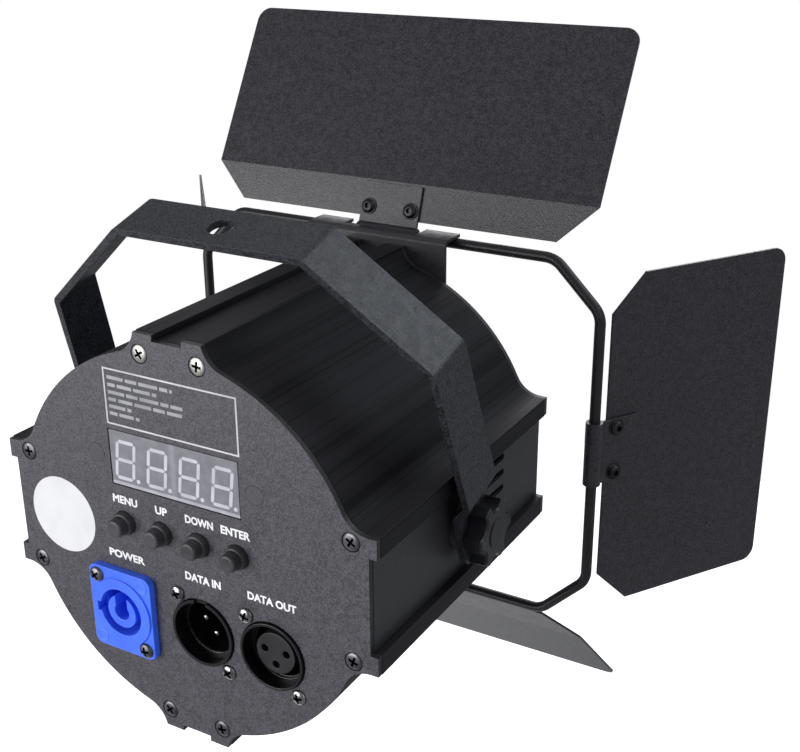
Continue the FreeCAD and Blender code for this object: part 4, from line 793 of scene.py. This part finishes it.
# The screw from its point to its crown, as radius and height over its seat.
BUTTON_SCREW = [(0.0, -4.6), (1.2, -4.6), (1.5, -4.3), (1.5, 0.0), (3.2, 0.0), (3.2, 0.35), (3.0, 0.5),
                (2.75, 0.5), (2.7, 0.62), (2.6, 1.0), (2.35, 1.4), (1.95, 1.68), (1.5, 1.8), (0.0, 1.8)]
SOCKET_REACH, SOCKET_FLOOR = 1.15, 0.75
NUT_HALF_FLATS, NUT_BORE, NUT_HEIGHT = 2.75, 1.56, 2.2
HEX, BORE_STEPS = 6, 24


def button_head():
    """A low round head with a rim round its base and a hexagon socket."""
    crown = BUTTON_SCREW[-1][1]
    socket = prism("socket", ring_points(SOCKET_REACH, HEX), SOCKET_FLOOR, crown + CUT_OVERRUN)
    return cut_out(lathe("button_head", BUTTON_SCREW, HEAD_STEPS), socket)


def leaf_nut():
    """A plain hexagon nut on Z = 0."""
    hexagon = prism("nut", ring_points(NUT_HALF_FLATS / math.cos(math.pi / HEX), HEX), 0.0, NUT_HEIGHT)
    bore = prism("bore", ring_points(NUT_BORE, BORE_STEPS), -CUT_OVERRUN, NUT_HEIGHT + CUT_OVERRUN)
    return cut_out(hexagon, bore)


socket_screw = button_head()
nut = leaf_nut()
outward, inward = (Matrix.Rotation(turn, 4, "X") for turn in (-math.pi / 2, math.pi / 2))
for side in LEAF_TURNS:
    members = []
    for x, turn in zip((LEAF_SCREW_HALF, -LEAF_SCREW_HALF), LEAF_SCREW_TURNS):
        spin = Matrix.Rotation(math.radians(turn), 4, "Y")
        for fastener, proud, facing in ((socket_screw, LEAF_THICK, outward), (nut, -LEAF_THICK, inward)):
            place = Matrix.Translation(Vector((x, proud, LEAF_SCREW_PLACE)) * MM)
            members.append((fastener, leaf_frame(side) @ place @ spin @ facing))
    screws = merged(f"leaf_screws_{side}_finish", members)
    add_piece(screws.name, screws, f"leaf_{side}", LOOKS["dark_screw"],
              (f"leaf_screws_{side}",))


# Buttons: a flange behind the panel, a collar through it and a narrower cap

BUTTON_STEPS, BUTTON_SMOOTH = 48, 40.0
# The flange and the collar, as radius and height over the panel.
BUTTON_COLLAR = [(3.1, -2.9), (4.8, -2.9), (4.8, -2.05), (4.0, -2.05), (4.0, 1.95), (3.85, 2.25),
                 (3.55, 2.4), (3.3, 2.4), (3.2, 2.3), (3.1, 2.4)]
# The cap's end, as radius and drop from its rim.
BUTTON_CAP = [(3.1, 0.75), (3.0, 0.35), (2.72, 0.1), (2.35, 0.0), (1.6, 0.06), (0.0, 0.14)]
STEM_RADIUS = BUTTON_CAP[0][0]

for name in ("menu", "up", "down", "enter"):
    node = f"button_{name}"
    low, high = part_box(node)
    centre = (low + high) / 2
    tall = (high.y - PANEL_HIGH.y) / MM
    deep = (PANEL_HIGH.y - low.y) / MM
    profile = [(0.0, -deep), (STEM_RADIUS, -deep)] + BUTTON_COLLAR
    profile += [(radius, tall - drop) for radius, drop in BUTTON_CAP]
    mesh = lathe(f"{node}_cap", profile, BUTTON_STEPS, BUTTON_SMOOTH)
    mesh.transform(rear_frame(centre.x, PANEL_HIGH.y, centre.z))
    add_piece(f"{node}_cap", mesh, node, LOOKS["button_plastic"], (node,))


# Pins of the data in socket, with rounded tips

PIN_LENGTH, PIN_RADIUS = 16.0, 1.2
PIN_TIP = [(PIN_RADIUS, -0.75), (1.08, -0.35), (0.75, -0.08), (0.0, 0.0)]
PIN_STEPS, PIN_SMOOTH = 24, 60.0
pin = lathe("pin", [(0.0, -PIN_LENGTH), (PIN_RADIUS, -PIN_LENGTH)] + PIN_TIP, PIN_STEPS, PIN_SMOOTH)
add_screws("data_in_pins_round", pin, rear_places("data_in_pins"), "data_in_pins")


# The lip where the data in socket narrows, in a paler metal as a painted highlight

LIP_RADIUS, LIP_DEPTH = 9.55, 4.5
# Out from the lip's inner radius, and up from its foot.
LIP_SECTION = [(0.0, 0.0), (0.5, 0.0), (0.5, 0.2), (0.3, 0.4), (0.1, 0.35), (0.0, 0.15), (0.0, 0.0)]
LIP_STEPS = 64
lip = lathe("lip", [(LIP_RADIUS + out, up - LIP_DEPTH) for out, up in LIP_SECTION], LIP_STEPS)
socket = middle("data_in_shell")
lip.transform(rear_frame(socket.x, PANEL_HIGH.y, middle("data_in_insert").z))
add_piece("data_in_lip", lip, "housing", LIP_HIGHLIGHT)


# Printing on the rear panel, as thin raised ink

INK = 0.03
# For letters of unit size: how much bolder than the plain ones, half their thickness, and the
# steps of their curves.
LETTER_BOLD, LETTER_HALF, LETTER_STEPS = 0.036, 0.01, 3


def ink_text(words, left, right, baseline, tall):
    """Plain capitals between two places across the panel."""
    curve = bpy.data.curves.new(f"word_{words}", "FONT")
    curve.body = words
    curve.size = 1.0
    curve.offset = LETTER_BOLD
    curve.extrude = LETTER_HALF
    curve.resolution_u = LETTER_STEPS
    writing = bpy.data.objects.new("writing", curve)
    bpy.context.scene.collection.objects.link(writing)
    bpy.context.view_layer.update()
    graph = bpy.context.evaluated_depsgraph_get()
    mesh = bpy.data.meshes.new_from_object(writing.evaluated_get(graph))
    bpy.data.objects.remove(writing)
    xs = [vertex.co.x for vertex in mesh.vertices]
    ys = [vertex.co.y for vertex in mesh.vertices]
    wide = (right - left) / (max(xs) - min(xs))
    high = tall / (max(ys) - min(ys))
    for vertex in mesh.vertices:
        x, y, z = vertex.co
        raised = (z + LETTER_HALF) / (2 * LETTER_HALF) * INK
        vertex.co = ((x - min(xs)) * wide * MM, (y - min(ys)) * high * MM, raised * MM)
    return mesh, panel_frame(left, baseline)


WORD_HEIGHT = 2.9
# Each word with its left end, right end and baseline.
WORDS = [("MENU", -27.5, -17.3, 10.6), ("UP", -10.0, -5.2, 10.6), ("DOWN", 2.0, 13.0, 10.6),
         ("ENTER", 15.9, 27.1, 10.6), ("POWER", -31.4, -16.4, -10.3), ("DATA IN", 0.3, 14.4, -10.2),
         ("DATA OUT", 24.8, 43.1, -10.2)]
words = merged("panel_words", [ink_text(*word, WORD_HEIGHT) for word in WORDS])
add_piece("panel_words", words, "housing", PRINT_WHITE)

LABEL_LEFT, LABEL_RIGHT, LABEL_LOW, LABEL_HIGH = -26.4, 24.5, 38.8, 57.4
LABEL_LINE = 0.55
# Each row of the label with its height up the panel and its right end.
ROWS = [(54.6, 0.7), (52.1, -5.5), (49.6, 4.4), (47.2, 4.0), (44.8, -16.1), (42.4, -13.1)]
ROW_START, ROW_HEIGHT, ROW_GAP = -25.1, 1.15, 0.8
BAR_LENGTHS = [4.6, 7.4, 3.1, 5.8, 6.6]


def on_panel(loops):
    """Loops as ink, with the panel's frame."""
    return [(prism("ink", loop, 0.0, INK), panel_frame(0, 0)) for loop in loops]


def label_frame():
    """The thin frame of the rating label."""
    across, up = (LABEL_LEFT + LABEL_RIGHT) / 2, (LABEL_LOW + LABEL_HIGH) / 2
    half_x, half_y = (LABEL_RIGHT - LABEL_LEFT) / 2, (LABEL_HIGH - LABEL_LOW) / 2
    line = LABEL_LINE / 2
    return [bar_loop(across, LABEL_HIGH, half_x + line, line),
            bar_loop(across, LABEL_LOW, half_x + line, line),
            bar_loop(LABEL_LEFT, up, line, half_y - line),
            bar_loop(LABEL_RIGHT, up, line, half_y - line)]


def label_rows():
    """Plain bars where the label's lines of text would be."""
    bars = []
    for centre, end in ROWS:
        start = ROW_START
        step = int(centre)
        while start < end:
            long = min(BAR_LENGTHS[step % len(BAR_LENGTHS)], end - start)
            bars.append(bar_loop(start + long / 2, centre, long / 2, ROW_HEIGHT / 2))
            start += long + ROW_GAP
            step += 1
    return bars


add_piece("label_frame", merged("label_frame", on_panel(label_frame())), "housing", LABEL_PALE)
add_piece("label_rows", merged("label_rows", on_panel(label_rows())), "housing", LABEL_DIM)

DISC_PLACE = (-50.5, -0.2)
DISC_RADIUS, DISC_STEPS = 13.75, 96
disc = lathe("blank_disc", [(0.0, 0.0), (DISC_RADIUS, 0.0), (DISC_RADIUS, INK), (0.0, INK)], DISC_STEPS)
disc.transform(panel_frame(*DISC_PLACE))
add_piece("blank_disc", disc, "housing", DISC_PALE)


# Round marks that the mould leaves on the inlet's flange, at the corners with no screw

INLET_PLACE = (-26.2, -29.45)
MARK_PLACES = [(9.5, 12.0), (-9.5, -12.0)]
MARK_SECTION = [(0.0, 0.0), (2.3, 0.0), (2.3, 0.1), (2.15, 0.16), (1.8, 0.05), (0.0, 0.05)]
FLANGE_PROUD = 2.6
mark = lathe("mark", MARK_SECTION, HEAD_STEPS)
marks = [(mark, panel_frame(INLET_PLACE[0] + across, INLET_PLACE[1] + up, FLANGE_PROUD))
         for across, up in MARK_PLACES]
add_piece("inlet_marks", merged("inlet_marks", marks), "housing", LOOKS["blue_plastic"])


# Digits of the display

DIGIT_LEFTS = [-23.9, -11.15, 1.55, 14.25]
DIGIT_TOP, DIGIT_FOOT = 33.6, 19.6
DIGIT_WIDTH = 8.1
DIGIT_LEAN = 1.6
STROKE, STROKE_GAP = 1.2, 0.22
DOT_RADIUS, DOT_AFTER, DOT_RAISED, DOT_STEPS = 0.75, 1.35, 0.1, 20


def stroke(first, last):
    """A bar with pointed ends between two places, a little short of both."""
    ahead = (Vector(last) - Vector(first)).normalized()
    side = Vector((-ahead.y, ahead.x)) * (STROKE / 2)
    start = Vector(first) + ahead * STROKE_GAP
    end = Vector(last) - ahead * STROKE_GAP
    inward = ahead * (STROKE / 2)
    return [start, start + inward - side, end - inward - side, end, end - inward + side,
            start + inward + side]


def digit_bars():
    """The strokes and the dot of one digit, from its lower left corner, leaning to the right."""
    half = STROKE / 2
    tall = DIGIT_TOP - DIGIT_FOOT
    low_x, high_x = half, DIGIT_WIDTH - half
    levels = (half, tall / 2, tall - half)
    bars = [stroke((low_x, level), (high_x, level)) for level in levels]
    for x in (low_x, high_x):
        bars += [stroke((x, levels[0]), (x, levels[1])), stroke((x, levels[1]), (x, levels[2]))]
    ring = ring_points(DOT_RADIUS, DOT_STEPS, DIGIT_WIDTH + DOT_AFTER, half + DOT_RAISED)
    dot = [Vector(point) for point in ring]
    leant = []
    for bar in bars + [dot]:
        leant.append([(point.x - DIGIT_LEAN * (1 - point.y / tall), point.y) for point in bar])
    return leant


window_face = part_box("display_window")[1].y
segments = []
place = rear_frame(0, window_face, PANEL_MIDDLE.z)
for left in DIGIT_LEFTS:
    for bar in digit_bars():
        loop = [(left + x, DIGIT_FOOT + y) for x, y in bar]
        segments.append((prism("bar", loop, 0.0, INK), place))
add_piece("display_digits", merged("display_digits", segments), "housing", SEGMENT_PALE)


# Light source behind the glass

CUP_OFFSET, CUP_NECK, CUP_MOUTH = 25.5, 9.0, 22.0
CUP_RINGS, CUP_SIDES = 5, 20
# Facets lie this far inside the CAD cup, and an edge between two of them stays sharp.
CUP_SKIN, FACET_EDGE = 0.25, 1.0
EMITTER_HALF, EMITTER_DISC = 9.5, 7.6
# Down from the emitter's crown to its base's face, and to its disc's wall and shoulder.
BASE_DOWN, WALL_DOWN, SHOULDER_DOWN = 0.65, 0.35, 0.1
DISC_FOOT, SHOULDER_IN = 0.2, 0.3


def cup_outline(depth):
    """The inside of a reflector cup, in straight steps from its neck to its mouth."""
    shares = [ring / CUP_RINGS for ring in range(CUP_RINGS + 1)]
    return [(CUP_NECK + (CUP_MOUTH - CUP_NECK) * share - CUP_SKIN, depth * share) for share in shares]


def disc_outline(tall):
    """The yellow disc of an emitter, slightly crowned."""
    return [(0.0, DISC_FOOT), (EMITTER_DISC, DISC_FOOT), (EMITTER_DISC, tall - WALL_DOWN),
            (EMITTER_DISC - SHOULDER_IN, tall - SHOULDER_DOWN), (0.0, tall)]


tray_low, tray_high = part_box("reflector_tray")
base_low, base_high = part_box("led_emitters")
base_tall = (base_high.y - base_low.y) / MM
cup = lathe("cup", cup_outline((tray_high.y - tray_low.y) / MM), CUP_SIDES, FACET_EDGE)
base = prism("base", bar_loop(0, 0, EMITTER_HALF, EMITTER_HALF), 0.0, base_tall - BASE_DOWN)
dome = lathe("dome", disc_outline(base_tall), HEAD_STEPS)
cups, bases, discs = [], [], []
for sign_x in (1, -1):
    for sign_z in (1, -1):
        x, z = CUP_OFFSET * sign_x * MM, PANEL_MIDDLE.z + CUP_OFFSET * sign_z * MM
        seat = front_frame(x, base_high.y, z)
        cups.append((cup, front_frame(x, tray_high.y, z)))
        bases.append((base, seat))
        discs.append((dome, seat))
add_piece("reflector_facets", merged("reflector_facets", cups, FACET_EDGE), "housing",
          LOOKS["reflector_silver"])
add_piece("emitter_bases", merged("emitter_bases", bases), "housing", EMITTER_WHITE,
          ("led_emitters",))
add_piece("emitter_discs", merged("emitter_discs", discs), "housing", LOOKS["emitter_yellow"],
          ("led_emitters",))


# Stage, camera and light

FLOOR_DROP, FLOOR_HALF, FLOOR_THICK = 900.0, 1600.0, 20.0
FLOOR_PLACE = (600.0, -600.0)
FLOOR_GLOW = 0.95
FLOOR_CLOUD, FLOOR_GRAIN = 400.0, 60.0


def add_stage():
    """A pale floor far below the lamp, which hangs from its yoke; no piece mirrors it."""
    look = Look("floor_pale", gloss=0.1, glow=FLOOR_GLOW, glow_colour=(1, 1, 1, 1))
    look.wire("Base Color", look.ramp(look.noise(FLOOR_CLOUD), [(0.3, shade(240, 240, 241)),
                                                                (0.7, shade(246, 246, 247))]))
    look.wire("Roughness", look.spread(look.noise(FLOOR_GRAIN), 0.7, 0.85))
    mesh = prism("floor", bar_loop(0, 0, FLOOR_HALF, FLOOR_HALF), -FLOOR_THICK, 0.0)
    floor = bpy.data.objects.new("floor", mesh)
    mesh.materials.append(look.material)
    floor.location = (FLOOR_PLACE[0] * MM, FLOOR_PLACE[1] * MM, CAD_BOX[0].z - FLOOR_DROP * MM)
    floor.visible_glossy = False
    bpy.context.scene.collection.objects.link(floor)


# The camera's place in millimetres, and the directions to its right and ahead of it.
CAMERA_PLACE = Vector((-233.94, 296.89, 101.51)) * MM
CAMERA_RIGHT = Vector((-0.8679, -0.4966, -0.0058))
CAMERA_AHEAD = Vector((0.4623, -0.8036, -0.3747))
LENS, SENSOR = 56.56, 36.0
CLIP_NEAR, CLIP_FAR = 0.02, 100.0


def add_camera():
    """The camera, where the photo was taken from."""
    back = -CAMERA_AHEAD.normalized()
    right = (CAMERA_RIGHT - back * CAMERA_RIGHT.dot(back)).normalized()
    up = back.cross(right)
    camera = bpy.data.cameras.new("camera")
    camera.lens, camera.sensor_width = LENS, SENSOR
    camera.clip_start, camera.clip_end = CLIP_NEAR, CLIP_FAR
    holder = bpy.data.objects.new("camera", camera)
    turn = Matrix((right, up, back)).transposed().to_4x4()
    holder.matrix_world = Matrix.Translation(CAMERA_PLACE) @ turn
    bpy.context.scene.collection.objects.link(holder)
    bpy.context.scene.camera = holder


# Places and sizes of the lights are in metres, and they all look at the lamp's middle.
LAMP_MIDDLE = Vector((0.0, -0.05, -0.09))
LIGHTS = {
    "low_left": {"place": (0.55, 0.97, 0.02), "wide": 0.9, "tall": 0.75, "watts": 13.0},
    "high_right": {"place": (-0.61, -0.61, 0.77), "wide": 0.7, "tall": 0.7, "watts": 4.5,
                   "colour": (0.86, 0.93, 1.0)},
    "top": {"place": (0.1, -0.2, 1.3), "wide": 0.8, "tall": 0.8, "watts": 1.5},
    "side": {"place": (-1.1, 0.25, 0.45), "wide": 0.7, "tall": 1.1, "watts": 2.0},
    "front": {"place": (0.5, -1.3, 0.3), "wide": 0.8, "tall": 0.8, "watts": 6.0},
    "bounce": {"place": (0.5, -0.12, -1.0), "wide": 0.9, "tall": 0.9, "watts": 2.3},
}


def add_light(name, place, wide, tall, watts, colour=(1.0, 1.0, 1.0)):
    """A soft box that looks at the middle of the lamp."""
    light = bpy.data.lights.new(name, "AREA")
    light.shape = "RECTANGLE"
    light.size, light.size_y = wide, tall
    light.energy = watts
    light.color = colour
    holder = bpy.data.objects.new(name, light)
    holder.location = place
    holder.rotation_mode = "QUATERNION"
    holder.rotation_quaternion = (LAMP_MIDDLE - Vector(place)).to_track_quat("-Z", "Y")
    holder.visible_camera = False
    bpy.context.scene.collection.objects.link(holder)


LIT_COLOUR, LIT_STRENGTH = (0.93, 0.96, 1.0, 1), 0.3


def add_world():
    """White for the camera, and a dimmer cool grey for everything that is lit."""
    world = bpy.data.worlds.new("studio")
    world.use_nodes = True
    bpy.context.scene.world = world
    nodes, links = world.node_tree.nodes, world.node_tree.links
    seen = nodes["Background"]
    seen.inputs["Color"].default_value = (1, 1, 1, 1)
    seen.inputs["Strength"].default_value = 1.0
    lit = nodes.new("ShaderNodeBackground")
    lit.inputs["Color"].default_value = LIT_COLOUR
    lit.inputs["Strength"].default_value = LIT_STRENGTH
    path = nodes.new("ShaderNodeLightPath")
    mix = nodes.new("ShaderNodeMixShader")
    links.new(path.outputs["Is Camera Ray"], mix.inputs[0])
    links.new(lit.outputs[0], mix.inputs[1])
    links.new(seen.outputs[0], mix.inputs[2])
    links.new(mix.outputs[0], nodes["World Output"].inputs["Surface"])


add_stage()
add_camera()
add_world()
for light_name, settings in LIGHTS.items():
    add_light(light_name, **settings)
bpy.context.scene.view_settings.view_transform = "Standard"
